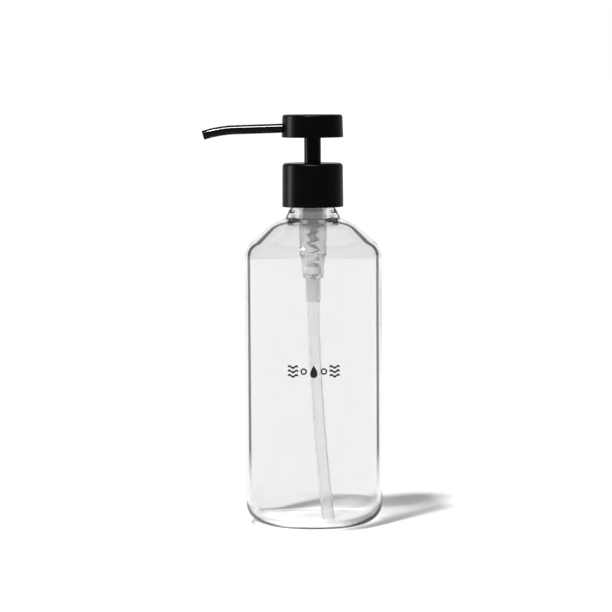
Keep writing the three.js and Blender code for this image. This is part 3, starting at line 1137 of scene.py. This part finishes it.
@dataclass
class Mark:
    """A printed pictogram: a drop between two bubbles, with ripples at each side."""

    wall_radius: float
    level: float = 85.0
    height: float = 6.7
    drop_half: float = 2.35
    drop_swell: float = 1.13
    drop_point: float = 1.3
    drop_ends: float = 0.02
    bubble: float = 1.75
    bubble_reach: float = 5.3
    bubble_line: float = 0.8
    ripple_from: float = 8.2
    ripple_to: float = 14.0
    ripple_line: float = 1.1
    ripple_swing: float = 0.5
    ripple_waves: float = 1.5
    ripple_levels: tuple[float, ...] = (-2.3, 0.0, 2.3)
    ripple_tip: float = 0.25
    ripple_taper: float = 12.0
    gap: float = 0.01
    film: float = 0.03
    columns: int = 6
    drop_rows: int = 32
    bubble_rows: int = 48
    ripple_rows: int = 40

    def loop(self, left: tuple[float, float], right: tuple[float, float]) -> list[Vector]:
        """Lays one section of the print on the wall.

        Args:
            left: one end of the section, as distance round the wall and height.
            right: its other end.

        Returns:
            A ring: along the print's face and back along its underside.
        """
        shares = [step / self.columns for step in range(self.columns + 1)]
        face = [(share, self.gap + self.film) for share in shares]
        back = [(share, self.gap) for share in reversed(shares)]
        ring = []
        for share, lift in [*face, *back]:
            across = left[0] + (right[0] - left[0]) * share
            angle = across / self.wall_radius - math.pi / 2
            radius = self.wall_radius + lift
            level = self.level + left[1] + (right[1] - left[1]) * share
            ring.append(Vector((radius * math.cos(angle), radius * math.sin(angle), level)))
        return ring

    def drop(self) -> bpy.types.Object:
        """Makes the drop, which is round below and pointed above.

        Returns:
            The drop.
        """
        rows = []
        for step in range(self.drop_rows + 1):
            share = self.drop_ends + (1 - 2 * self.drop_ends) * step / self.drop_rows
            turn = math.pi * share
            narrow = math.sin(turn / 2) ** self.drop_point * self.drop_swell
            half = self.drop_half * math.sin(turn) * narrow
            height = self.height / 2 * math.cos(turn)
            rows.append(self.loop((-half, height), (half, height)))
        return web("print_drop", rows)

    def ring(self, name: str, middle: float) -> bpy.types.Object:
        """Makes a bubble's ring.

        Args:
            name: the piece's name.
            middle: its place round the wall.

        Returns:
            The ring.
        """
        rows = []
        inner = self.bubble - self.bubble_line
        for step in range(self.bubble_rows):
            turn = TURN * step / self.bubble_rows
            cos, sin = math.cos(turn), math.sin(turn)
            first = (middle + inner * cos, inner * sin)
            rows.append(self.loop(first, (middle + self.bubble * cos, self.bubble * sin)))
        return web(name, rows, closed=True)

    def ripple(self, name: str, side: int, height: float) -> bpy.types.Object:
        """Makes one wavy line.

        Args:
            name: the piece's name.
            side: -1 for the left and 1 for the right.
            height: above the print's middle.

        Returns:
            The line.
        """
        rows = []
        for step in range(self.ripple_rows + 1):
            share = step / self.ripple_rows
            across = side * (self.ripple_from + (self.ripple_to - self.ripple_from) * share)
            wave = height + self.ripple_swing * math.sin(TURN * self.ripple_waves * share)
            tip = self.ripple_tip + min(share, 1 - share) * self.ripple_taper
            half = self.ripple_line / 2 * min(1.0, tip)
            rows.append(self.loop((across, wave - half), (across, wave + half)))
        return web(name, rows)

    def make(self) -> None:
        """Prints the whole mark as one piece."""
        parts = [self.drop()]
        for side, word in ((-1, "left"), (1, "right")):
            parts.append(self.ring(f"bubble_{word}", side * self.bubble_reach))
            for row, height in enumerate(self.ripple_levels):
                parts.append(self.ripple(f"ripple_{word}_{row}", side, height))
        dress(joined("front_print", parts), Body.BOTTLE, INK)


def joined(name: str, parts: Sequence[bpy.types.Object]) -> bpy.types.Object:
    """Joins pieces that don't move apart.

    Args:
        name: the whole piece's name.
        parts: the pieces, of which the first is kept.

    Returns:
        The whole piece.
    """
    bpy.ops.object.select_all(action="DESELECT")
    for part in parts:
        part.select_set(True)
    bpy.context.view_layer.objects.active = parts[0]
    bpy.ops.object.join()
    parts[0].name = name
    parts[0].data.name = name
    return parts[0]


# ---------------------------------------------------------------- closure


@dataclass
class Closure:
    """The collar's metal cover and the threaded cap pressed in it."""

    metal: float = 0.75
    draft: float = 0.2
    fillet: float = 1.8
    collar_bore: float = 4.85
    cap_bore: float = 13.8
    cap_plate: float = 1.8
    cap_plate_bore: float = 7.0
    cap_plain: float = 0.2
    thread: Thread = Thread(bottom=173.33, turns=1.25)
    collar: Span = field(default_factory=lambda: Span.of("collar_shell"))
    cap: Span = field(default_factory=lambda: Span.of("threaded_cap"))

    def collar_cover(self) -> bpy.types.Object:
        """Makes the metal cover.

        Returns:
            The piece.
        """
        lower = self.collar.radius
        upper = lower - self.draft
        corners = [
            Corner(lower - self.metal, self.collar.bottom, 0.3),
            Corner(lower, self.collar.bottom, 0.4),
            Corner(upper, self.collar.top, self.fillet),
            Corner(self.collar_bore, self.collar.top, 0.35),
            Corner(self.collar_bore, self.collar.top - self.metal, 0.2),
            Corner(upper - self.metal, self.collar.top - self.metal, self.fillet - self.metal),
        ]
        return turned("collar_cover", corners, facets=192, arc_step=8.0)

    def relief(self, angle: float, radius: float, level: float) -> float:
        """Measures the thread that is cut into the cap's bore.

        Args:
            angle: round the axis.
            radius: of the plain outline.
            level: of the plain outline.

        Returns:
            What is added to the radius.
        """
        threaded = level < self.cap.top - self.cap_plate - self.cap_plain
        if abs(radius - self.cap_bore) < CLOSE and threaded:
            return -self.thread.relief(angle, level)
        return 0.0

    def cap_core(self) -> bpy.types.Object:
        """Makes the threaded cap.

        Returns:
            The piece.
        """
        under = self.cap.top - self.cap_plate
        corners = [
            Corner(self.cap_bore, self.cap.bottom, 0.4),
            Corner(self.cap.radius, self.cap.bottom, 0.2),
            Corner(self.cap.radius, self.cap.top, 1.6),
            Corner(self.cap_plate_bore, self.cap.top, 0.25),
            Corner(self.cap_plate_bore, under, 0.25),
            Corner(self.cap_bore, under, 0.5),
        ]
        return turned("cap_core", corners, facets=144, longest=0.35, relief=self.relief)

    def make(self) -> None:
        """Makes the collar and the cap."""
        dress(self.collar_cover(), Body.CLOSURE, SATIN, "collar_shell")
        dress(self.cap_core(), Body.CLOSURE, BLACK, "threaded_cap")


# ---------------------------------------------------------------- pump body


@dataclass
class PumpBody:
    """The still part of the pump: housing, lock ring, seals, valve cage, spring and dip tube."""

    barrel_bore: float = 6.2
    barrel_low: float = 7.15
    barrel_high: float = 7.85
    barrel_bottom: float = 144.6
    cage_high: float = 6.5
    cage_low: float = 5.35
    cage_bore_high: float = 5.0
    cage_bore_low: float = 4.45
    cage_bottom: float = 131.6
    vent: float = 0.5
    vent_drop: float = 3.0
    floor: float = 2.2
    inlet: float = 1.4
    step: float = 0.6
    tail: float = 3.92
    tail_bore: float = 3.2
    flange_thickness: float = 1.6
    ring_bush: float = 6.15
    ring_bore: float = 4.75
    ring_guide: float = 3.65
    ring_neck: float = 6.7
    ring_rim: float = 7.35
    ring_rim_bottom: float = 190.9
    ring_flange_bottom: float = 187.2
    ring_flange_top: float = 189.0
    ring_guide_top: float = 173.4
    seal_bore: float = 3.5
    gasket_bore: float = 7.95
    ball_pocket: float = 2.7
    ball_eye: float = 0.9
    retainer_plate: float = 0.8
    slot_start: float = 0.85
    slot_end: float = 2.35
    slot_width: float = 1.0
    wire: float = 0.42
    wire_inset: float = 0.97
    wire_facets: int = 14
    coil_steps: int = 40
    coils: float = 5.5
    dead_coils: float = 1.2
    dead_pitch: float = 1.1
    tube: float = 3.15
    tube_wall: float = 0.65
    tube_plug: float = 10.4
    tube_lean: float = 27.05
    tube_end: float = 5.2
    tube_heading: float = math.radians(-74.3)
    tube_bend_power: float = 1.6
    tube_steps: int = 40
    spring_keep: float = 0.41
    housing: Span = field(default_factory=lambda: Span.of("pump_housing"))
    ring: Span = field(default_factory=lambda: Span.of("lock_ring"))
    seal: Span = field(default_factory=lambda: Span.of("stem_seal"))
    gasket: Span = field(default_factory=lambda: Span.of("neck_gasket"))
    retainer: Span = field(default_factory=lambda: Span.of("ball_retainer"))
    spring: Span = field(default_factory=lambda: Span.of("return_spring"))
    ball: Span = field(default_factory=lambda: Span.of("inlet_ball"))

    def barrel(self) -> bpy.types.Object:
        """Makes the housing: barrel, valve cage and tube socket.

        Returns:
            The piece.
        """
        flange_bottom = self.housing.top - self.flange_thickness
        seat = self.cage_bottom + self.floor - (self.cage_bore_low - self.inlet) / 2
        cone = (self.cage_bore_low + self.inlet) / 2
        corners = [
            Corner(self.tail_bore, self.housing.bottom, 0.2),
            Corner(self.tail, self.housing.bottom, 0.3),
            Corner(self.tail, self.cage_bottom - self.step, 0.4),
            Corner(self.cage_low, self.cage_bottom, 0.5),
            Corner(self.cage_high, self.barrel_bottom - self.step, 0.3),
            Corner(self.barrel_low, self.barrel_bottom, 0.4),
            Corner(self.barrel_high, flange_bottom, 0.5),
            Corner(self.housing.radius, flange_bottom, 0.3),
            Corner(self.housing.radius, self.housing.top, 0.3),
            Corner(self.barrel_bore, self.housing.top, 0.4),
            Corner(self.barrel_bore, self.barrel_bottom + 1, 0.6),
            Corner(self.cage_bore_high, self.barrel_bottom - 1, 0.6),
            Corner(self.cage_bore_low, self.cage_bottom + self.floor, 0.3),
            Corner(cone, self.cage_bottom + self.floor, 0.2),
            Corner(self.inlet, seat, 0.2),
            Corner(self.inlet, self.cage_bottom - self.step, 0.2),
            Corner(self.tail_bore, self.cage_bottom - self.step - 1, 0.3),
        ]
        level = flange_bottom - self.vent_drop
        start = Vector((self.barrel_bore - OVERCUT, 0, level))
        end = Vector((self.barrel_high + OVERCUT, 0, level))
        vent = bar(self.vent, Path([start, end]), facets=24)
        return shaped(turned("housing_barrel", corners, longest=4.0), [vent])

    def lock_ring(self) -> bpy.types.Object:
        """Makes the ring that closes the housing and guides the stem.

        Returns:
            The piece.
        """
        corners = [
            Corner(self.ring_guide, self.ring.bottom, 0.3),
            Corner(self.ring_bush, self.ring.bottom, 0.5),
            Corner(self.ring_bush, self.ring_flange_bottom),
            Corner(self.ring.radius, self.ring_flange_bottom, 0.2),
            Corner(self.ring.radius, self.ring_flange_top, 0.3),
            Corner(self.ring_neck, self.ring_flange_top, 0.2),
            Corner(self.ring_neck, self.ring_rim_bottom, 0.15),
            Corner(self.ring_rim, self.ring_rim_bottom, 0.15),
            Corner(self.ring_rim, self.ring.top, 0.3),
            Corner(self.ring_bore, self.ring.top, 0.3),
            Corner(self.ring_bore, self.ring_guide_top, 0.2),
            Corner(self.ring_guide, self.ring_guide_top, 0.2),
        ]
        return turned("guide_ring", corners)

    def washer(self, name: str, bore: float, span: Span, lip: float) -> bpy.types.Object:
        """Makes a seal.

        Args:
            name: the piece's name.
            bore: its inner radius.
            span: where its node is.
            lip: the fillet of its inner edges.

        Returns:
            The seal.
        """
        corners = tubular(bore, span.radius, span.bottom, span.top, lip, 0.12, 0.12, lip)
        return turned(name, corners, facets=96)

    def cage(self) -> bpy.types.Object:
        """Makes the cage over the ball, with three slots through its plate.

        Returns:
            The piece.
        """
        ceiling = self.retainer.top - self.retainer_plate
        corners = [
            Corner(self.ball_pocket, self.retainer.bottom, 0.2),
            Corner(self.retainer.radius, self.retainer.bottom, 0.2),
            Corner(self.retainer.radius, self.retainer.top, 0.3),
            Corner(self.ball_eye, self.retainer.top, 0.15),
            Corner(self.ball_eye, ceiling, 0.1),
            Corner(self.ball_pocket, ceiling, 0.3),
        ]
        slots = []
        for index in range(3):
            low = Vector((self.slot_start, -self.slot_width / 2, ceiling - OVERCUT / 2))
            top = self.retainer.top + OVERCUT / 2
            high = Vector((self.slot_end, self.slot_width / 2, top))
            slots.append(block(low, high, index * TURN / 3))
        return shaped(turned("valve_cage", corners, facets=96), slots)

    def valve_ball(self) -> bpy.types.Object:
        """Makes the inlet ball, which rests on the housing's seat.

        Returns:
            The piece.
        """
        ball = self.ball
        fillet = ball.radius * 0.999
        corners = tubular(0, ball.radius, ball.bottom, ball.top, 0, fillet, fillet, 0)
        return turned("valve_ball", corners, facets=64, arc_step=6.0)

    def coil(self) -> bpy.types.Object:
        """Winds the spring, with close coils at its lower end.

        Returns:
            The piece.
        """
        mean = self.spring.radius - self.wire * self.wire_inset
        foot = self.spring.bottom + self.wire
        head = self.spring.top - self.wire
        dead_rise = self.dead_coils * self.dead_pitch
        dead_share = self.dead_coils / self.coils
        points = []
        steps = round(self.coils * self.coil_steps)
        for step in range(steps + 1):
            along = step / steps
            open_share = max(0.0, along - dead_share) / (1 - dead_share)
            level = foot + dead_rise * min(1.0, along / dead_share)
            level += (head - foot - dead_rise) * open_share
            angle = along * self.coils * TURN
            points.append(Vector((mean * math.cos(angle), mean * math.sin(angle), level)))
        line = Path(points)
        corners = tubular(0, self.wire, 0, line.length, 0, 0.12, 0.12, 0)
        return turned("spring_coil", corners, line, self.wire_facets, longest=0.6)

    def dip_tube(self) -> bpy.types.Object:
        """Makes the dip tube, which leans more and more towards the heel.

        Returns:
            The piece.
        """
        top = self.housing.bottom + self.tube_plug
        drop = self.housing.bottom - self.tube_end
        points = [Vector((0, 0, top)), Vector((0, 0, (top + self.housing.bottom) / 2))]
        for step in range(self.tube_steps + 1):
            share = step / self.tube_steps
            swing = self.tube_lean * share**self.tube_bend_power
            east = swing * math.cos(self.tube_heading)
            north = swing * math.sin(self.tube_heading)
            points.append(Vector((east, north, self.housing.bottom - drop * share)))
        line = Path(points)
        bore = self.tube - self.tube_wall
        corners = tubular(bore, self.tube, 0, line.length, 0.1, 0.2, 0.15, 0.1)
        return turned("dip_tube_pipe", corners, line, facets=64, longest=2.5)

    def make(self) -> None:
        """Makes everything that stays still when the head is pressed."""
        body = Body.PUMP
        dress(self.barrel(), body, MILKY, "pump_housing")
        dress(self.lock_ring(), body, WHITE, "lock_ring")
        wiper = self.washer("stem_wiper", self.seal_bore, self.seal, 0.4)
        dress(wiper, body, SEAL, "stem_seal")
        gasket = self.washer("lip_gasket", self.gasket_bore, self.gasket, 0.12)
        dress(gasket, body, SEAL, "neck_gasket")
        dress(self.cage(), body, WHITE, "ball_retainer")
        dress(self.valve_ball(), Body.BALL, BALL, "inlet_ball")
        coil = dress(self.coil(), body, STEEL, "return_spring")
        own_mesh(coil)
        dress(self.dip_tube(), body, TUBE, "dip_tube")


# ---------------------------------------------------------------- plunger and head


@dataclass
class Plunger:
    """The rod that closes the piston's port, and the piston that slides on it."""

    shank: float = 1.85
    flat: float = 0.5
    flat_rise: float = 0.4
    seat_gap: float = 0.05
    pin: float = 1.9
    cone: float = 1.0
    head_thickness: float = 1.4
    piston_bore: float = 2.25
    lip_height: float = 1.3
    lip_depth: float = 1.0
    lip_end: float = 0.5
    lip_bevel: float = 0.6
    lip_slope: float = 0.7
    rod: Span = field(default_factory=lambda: Span.of("piston_rod"))
    piston: Span = field(default_factory=lambda: Span.of("piston_seal"))

    def rod_moulding(self) -> bpy.types.Object:
        """Makes the rod: a pin in the spring, a head on it and a shank in the stem.

        Returns:
            The piece.
        """
        head_top = self.piston.bottom - self.seat_gap
        head_bottom = head_top - self.cone - self.head_thickness
        corners = [
            Corner(0, self.rod.bottom),
            Corner(self.pin, self.rod.bottom, 0.6),
            Corner(self.pin, head_bottom, 0.2),
            Corner(self.rod.radius, head_bottom, 0.2),
            Corner(self.rod.radius, head_top - self.cone, 0.25),
            Corner(self.piston_bore + 0.2, head_top, 0.2),
            Corner(self.shank, head_top, 0.2),
            Corner(self.shank, self.rod.top, 0.5),
            Corner(0, self.rod.top),
        ]
        flats = []
        for side in (-1, 1):
            reach = self.shank + OVERCUT
            near, far = side * (self.shank - self.flat), side * reach
            low = Vector((-reach, min(near, far), head_top + self.flat_rise))
            flats.append(block(low, Vector((reach, max(near, far), self.rod.top + OVERCUT))))
        return shaped(turned("rod_moulding", corners, facets=72), flats)

    def piston_lips(self) -> bpy.types.Object:
        """Makes the piston, which seals with a lip at each end.

        Returns:
            The piece.
        """
        outer = self.piston.radius
        waist = outer - self.lip_depth
        bottom, top = self.piston.bottom, self.piston.top
        corners = [
            Corner(self.piston_bore, bottom, 0.2),
            Corner(waist - self.lip_bevel, bottom, 0.2),
            Corner(outer, bottom + self.lip_end, 0.1),
            Corner(outer, bottom + self.lip_height, 0.2),
            Corner(waist, bottom + self.lip_height + self.lip_slope, 0.3),
            Corner(waist, top - self.lip_height - self.lip_slope, 0.3),
            Corner(outer, top - self.lip_height, 0.2),
            Corner(outer, top - self.lip_end, 0.1),
            Corner(waist - self.lip_bevel, top, 0.2),
            Corner(self.piston_bore, top, 0.2),
        ]
        return turned("piston_lips", corners, facets=96)

    def make(self) -> None:
        """Makes the rod and the piston."""
        dress(self.rod_moulding(), Body.PLUNGER, WHITE, "piston_rod")
        dress(self.piston_lips(), Body.PISTON, SEAL, "piston_seal")


@dataclass
class Head:
    """The pressed head: stem, covers, core, spout and its lining."""

    stem: float = 3.4
    stem_bore: float = 1.9
    stem_stop_top: float = 169.9
    sleeve_wall: float = 0.5
    metal: float = 0.75
    draft: float = 0.4
    fillet: float = 1.3
    core_wall: float = 1.2
    core_ceiling: float = 1.8
    hub: float = 6.0
    boss_wall: float = 1.4
    channel: float = 1.5
    core_gap: float = 0.1
    core_fit: float = 0.05
    boss_start: float = 5.0
    socket_cut: float = 4.0
    channel_start: float = 2.9
    window_start: float = 0.5
    hole_start: float = 3.0
    hole_end: float = 2.0
    spout_level: float = 211.5
    spout_start: float = 8.25
    spout_end: float = 58.2
    spout_bend_start: float = 41.0
    spout: float = 2.5
    spout_wall: float = 0.5
    lining: float = 1.95
    lining_wall: float = 0.5
    lining_recess: float = 0.8
    spout_gap: float = 0.12
    droop: float = math.radians(1.6)
    bend: float = math.radians(16)
    line_steps: int = 60
    stem_span: Span = field(default_factory=lambda: Span.of("piston_stem"))
    sleeve: Span = field(default_factory=lambda: Span.of("stem_sleeve"))
    core: Span = field(default_factory=lambda: Span.of("head_insert"))
    cover: Span = field(default_factory=lambda: Span.of("head_shell"))

    def stem_tube(self) -> bpy.types.Object:
        """Makes the plastic stem with its stop and its window to the spout.

        Returns:
            The piece.
        """
        corners = [
            Corner(self.stem_bore, self.stem_span.bottom, 0.15),
            Corner(self.stem_span.radius, self.stem_span.bottom, 0.3),
            Corner(self.stem_span.radius, self.stem_stop_top, 0.3),
            Corner(self.stem, self.stem_stop_top, 0.3),
            Corner(self.stem, self.stem_span.top, 0.3),
            Corner(self.stem_bore, self.stem_span.top, 0.2),
        ]
        window = bar(self.channel, self.spout_line(self.window_start, self.stem + OVERCUT))
        return shaped(turned("stem_tube", corners, facets=96), [window])

    def stem_cover(self) -> bpy.types.Object:
        """Makes the metal sleeve over the stem.

        Returns:
            The piece.
        """
        span = self.sleeve
        bore = span.radius - self.sleeve_wall
        corners = tubular(bore, span.radius, span.bottom, span.top, 0.15, 0.2, 0.15, 0.1)
        return turned("stem_cover", corners, facets=128)

    def head_core(self) -> bpy.types.Object:
        """Makes the head's plastic core: a skirt under the cover and a hub round the stem.

        Returns:
            The piece.
        """
        low = self.core.radius
        high = low - self.draft
        ceiling = self.core.top - self.core_ceiling
        stem_top = self.stem_span.top + self.core_gap
        sleeve_top = self.sleeve.top + self.core_gap
        sleeve_bore = self.sleeve.radius + self.core_fit
        stem_bore = self.stem + self.core_fit
        corners = [
            Corner(sleeve_bore, self.core.bottom, 0.2),
            Corner(self.hub, self.core.bottom, 0.3),
            Corner(self.hub, ceiling, 0.5),
            Corner(high - self.core_wall, ceiling, 0.5),
            Corner(low - self.core_wall, self.core.bottom, 0.2),
            Corner(low, self.core.bottom, 0.2),
            Corner(high, self.core.top, 0.8),
            Corner(0, self.core.top),
            Corner(0, stem_top),
            Corner(stem_bore, stem_top, 0.2),
            Corner(stem_bore, sleeve_top, 0.1),
            Corner(sleeve_bore, sleeve_top, 0.1),
        ]
        skirt = high - self.core_wall / 2
        boss = bar(self.spout + self.boss_wall, self.spout_line(self.boss_start, skirt))
        socket_line = self.spout_line(self.spout_start - self.core_fit, skirt + self.socket_cut)
        socket = bar(self.spout + self.core_fit, socket_line)
        channel_line = self.spout_line(self.channel_start, self.spout_start + OVERCUT)
        channel = bar(self.channel, channel_line)
        core = turned("head_core", corners, facets=144)
        return shaped(core, [socket, channel], [boss])

    def head_cover(self) -> bpy.types.Object:
        """Makes the metal cover with the spout's hole.

        Returns:
            The piece.
        """
        low = self.cover.radius
        high = low - self.draft
        inner = self.cover.top - self.metal
        corners = [
            Corner(low - self.metal, self.cover.bottom, 0.25),
            Corner(low, self.cover.bottom, 0.35),
            Corner(high, self.cover.top, self.fillet),
            Corner(0, self.cover.top),
            Corner(0, inner),
            Corner(high - self.metal, inner, self.fillet - self.metal),
        ]
        cover = turned("head_cover", corners, facets=256, longest=1.0, arc_step=8.0)
        hole_line = self.spout_line(high - self.hole_start, low + self.hole_end)
        hole = bar(self.spout + self.spout_gap, hole_line, facets=96)
        return shaped(cover, [hole])

    def spout_line(self, start: float, end: float) -> Path:
        """Draws the spout's middle line: straight, then an arc that bends down.

        Args:
            start: the reach from the stem at which it starts.
            end: the reach at which it ends.

        Returns:
            The line.
        """
        turn_in = math.sin(self.droop + self.bend) - math.sin(self.droop)
        radius = (self.spout_end - self.spout_bend_start) / turn_in
        points = []
        for step in range(self.line_steps + 1):
            reach = start + (end - start) * step / self.line_steps
            straight = min(reach, self.spout_bend_start) - self.spout_start
            level = self.spout_level - straight * math.tan(self.droop)
            if reach > self.spout_bend_start:
                turn = (reach - self.spout_bend_start) / radius + math.sin(self.droop)
                level -= radius * (math.cos(self.droop) - math.cos(math.asin(turn)))
            points.append(Vector((-reach, 0, level)))
        return Path(points)

    def pipe(self, name: str, radius: float, wall: float, line: Path) -> bpy.types.Object:
        """Makes a pipe along the spout.

        Args:
            name: the piece's name.
            radius: its outer radius.
            wall: its thickness.
            line: its middle line.

        Returns:
            The pipe.
        """
        corners = tubular(radius - wall, radius, 0, line.length, 0.1, 0.15, 0.2, 0.18)
        return turned(name, corners, line, facets=96, longest=1.0)

    def make(self) -> None:
        """Makes everything that turns with the head."""
        body = Body.HEAD
        dress(self.stem_tube(), body, WHITE, "piston_stem")
        dress(self.stem_cover(), body, SATIN, "stem_sleeve")
        dress(self.head_core(), body, BLACK, "head_insert")
        dress(self.head_cover(), body, SATIN, "head_shell")
        line = self.spout_line(self.spout_start, self.spout_end)
        pipe = self.pipe("spout_pipe", self.spout, self.spout_wall, line)
        dress(pipe, body, GLOSS, "spout_tube")
        inner_line = self.spout_line(self.spout_start, self.spout_end - self.lining_recess)
        lining = self.pipe("spout_lining", self.lining, self.lining_wall, inner_line)
        dress(lining, body, BLACK, "spout_liner")


# ---------------------------------------------------------------- studio


@dataclass(frozen=True)
class Softbox:
    """A glowing panel that faces the pump and shines on some of its pieces only."""

    name: str
    glow: float
    place: Place
    size: tuple[float, float]
    lit: tuple[str, ...]


SATIN_PIECES = ("collar_cover", "stem_cover", "head_cover")


@dataclass
class Studio:
    """The pale floor, the light and the camera. Its sizes are in metres."""

    floor_rings: tuple[float, ...] = (0.0, 0.4, 1.2, 6.0, 60.0)
    floor_facets: int = 64
    floor_drop: float = 0.00004
    sky_back: float = 1.08
    sky_side: float = 0.5
    sky_front: float = 0.6
    sky_top: float = 0.25
    back_edge: tuple[float, float] = (0.86, 0.93)
    front_edge: tuple[float, float] = (0.5, 0.9)
    low_edge: tuple[float, float] = (0.45, 0.7)
    top_edge: tuple[float, float] = (0.6, 0.85)
    sun_power: float = 3.1
    sun_angle: float = math.radians(5.0)
    sun_way: Place = (0.27, 0.42, -1.0)
    lit_middle: Place = (0.0, 0.0, 0.2)
    boxes: tuple[Softbox, ...] = (
        Softbox("strip", 28.0, (-1.3, 0.15, 0.35), (0.28, 0.9), (*SATIN_PIECES, "spout_pipe")),
        Softbox("boom", 300.0, (-0.05, -0.62, 1.36), (0.7, 0.24), ("spout_pipe",)),
        Softbox("top_box", 70.0, (-0.05, -0.62, 1.36), (0.5, 0.3), SATIN_PIECES),
    )
    eye: Place = (-0.00325, -1.5658, 0.2445)
    lens: float = 173.1
    clip: tuple[float, float] = (0.05, 50.0)
    pitch: float = math.radians(4.675)
    roll: float = math.radians(0.3)

    def floor(self) -> None:
        """Lays the floor, a flat disc that faces up, with finer rings near the bottle."""
        rows = []
        for reach in self.floor_rings:
            ring = []
            for step in range(self.floor_facets):
                angle = TURN * step / self.floor_facets
                across = (reach * math.cos(angle), reach * math.sin(angle))
                ring.append(Vector((*across, -self.floor_drop)) / MM)
            rows.append(ring)
        made = web("floor", rows, capped=False)
        made.data.flip_normals()
        made.data.materials.append(FLOOR.material())

    def sky(self) -> None:
        """Lights the room: brightest behind the object, and darkest overhead."""
        world = bpy.data.worlds.new("studio")
        world.use_nodes = True
        bpy.context.scene.world = world
        graph = Graph(world.node_tree)
        way = graph.node("ShaderNodeTexCoord", output="Generated")
        east, north, height = (
            graph.node("ShaderNodeSeparateXYZ", {}, {0: way}, output=axis) for axis in "XYZ"
        )
        ahead = north / (east * east + north * north + 1e-6) ** 0.5
        low = 1.0 - height.step(*self.low_edge)
        behind = ahead.step(*self.back_edge) * low
        front = (ahead * -1.0).step(*self.front_edge) * low
        value = (
            self.sky_side
            + behind * (self.sky_back - self.sky_side)
            + front * (self.sky_front - self.sky_side)
            + height.step(*self.top_edge) * (self.sky_top - self.sky_side)
        )
        colour = graph.colours(value, (0.0, 0.0, 0.0), (1.0, 1.0, 1.0))
        light = graph.node("ShaderNodeBackground", {}, {"Color": colour, "Strength": 1.0})
        graph.end("ShaderNodeOutputWorld", light)

    def lamp(self, kind: str, name: str, energy: float, aim: Vector) -> bpy.types.Object:
        """Hangs a lamp.

        Args:
            kind: Blender's type of lamp.
            name: its name.
            energy: its power.
            aim: the way it shines.

        Returns:
            The lamp.
        """
        light = bpy.data.lights.new(name, kind)
        light.energy = energy
        made = bpy.data.objects.new(name, light)
        made.rotation_mode = "QUATERNION"
        made.rotation_quaternion = aim.to_track_quat("-Z", "Y")
        bpy.context.collection.objects.link(made)
        return made

    def softbox(self, box: Softbox) -> None:
        """Hangs a softbox that neither the floor nor the camera sees.

        Args:
            box: its size, place and brightness, and what it lights.
        """
        power = box.glow * math.pi * box.size[0] * box.size[1]
        made = self.lamp("AREA", box.name, power, Vector(self.lit_middle) - Vector(box.place))
        made.location = box.place
        made.data.shape = "RECTANGLE"
        made.data.size, made.data.size_y = box.size
        made.visible_camera = False
        made.visible_diffuse = False
        receivers = bpy.data.collections.new(f"lit_by_{box.name}")
        for piece in box.lit:
            receivers.objects.link(bpy.data.objects[piece])
        made.light_linking.receiver_collection = receivers

    def lights(self) -> None:
        """Sets the key light, and the softboxes that draw the lines on the black metal."""
        sun = self.lamp("SUN", "key", self.sun_power, Vector(self.sun_way))
        sun.data.angle = self.sun_angle
        for box in self.boxes:
            self.softbox(box)

    def camera(self) -> None:
        """Sets the camera: a long lens just above the head, tipped slightly down."""
        data = bpy.data.cameras.new("camera")
        data.lens = self.lens
        data.clip_start, data.clip_end = self.clip
        made = bpy.data.objects.new("camera", data)
        made.rotation_mode = "XYZ"
        made.location = self.eye
        made.rotation_euler = (math.pi / 2 - self.pitch, self.roll, 0)
        bpy.context.collection.objects.link(made)
        bpy.context.scene.camera = made

    def make(self) -> None:
        """Sets the whole studio up."""
        self.camera()
        self.floor()
        self.sky()
        self.lights()
        bpy.context.scene.view_settings.view_transform = "Standard"


def main() -> None:
    """Builds the dispenser and the studio, piece by piece."""
    logging.basicConfig(level=logging.INFO, format="%(name)s: %(message)s")
    for assembly in (Bottle(), Closure(), PumpBody(), Plunger(), Head(), Studio()):
        assembly.make()


if __name__ == "__main__":
    main()
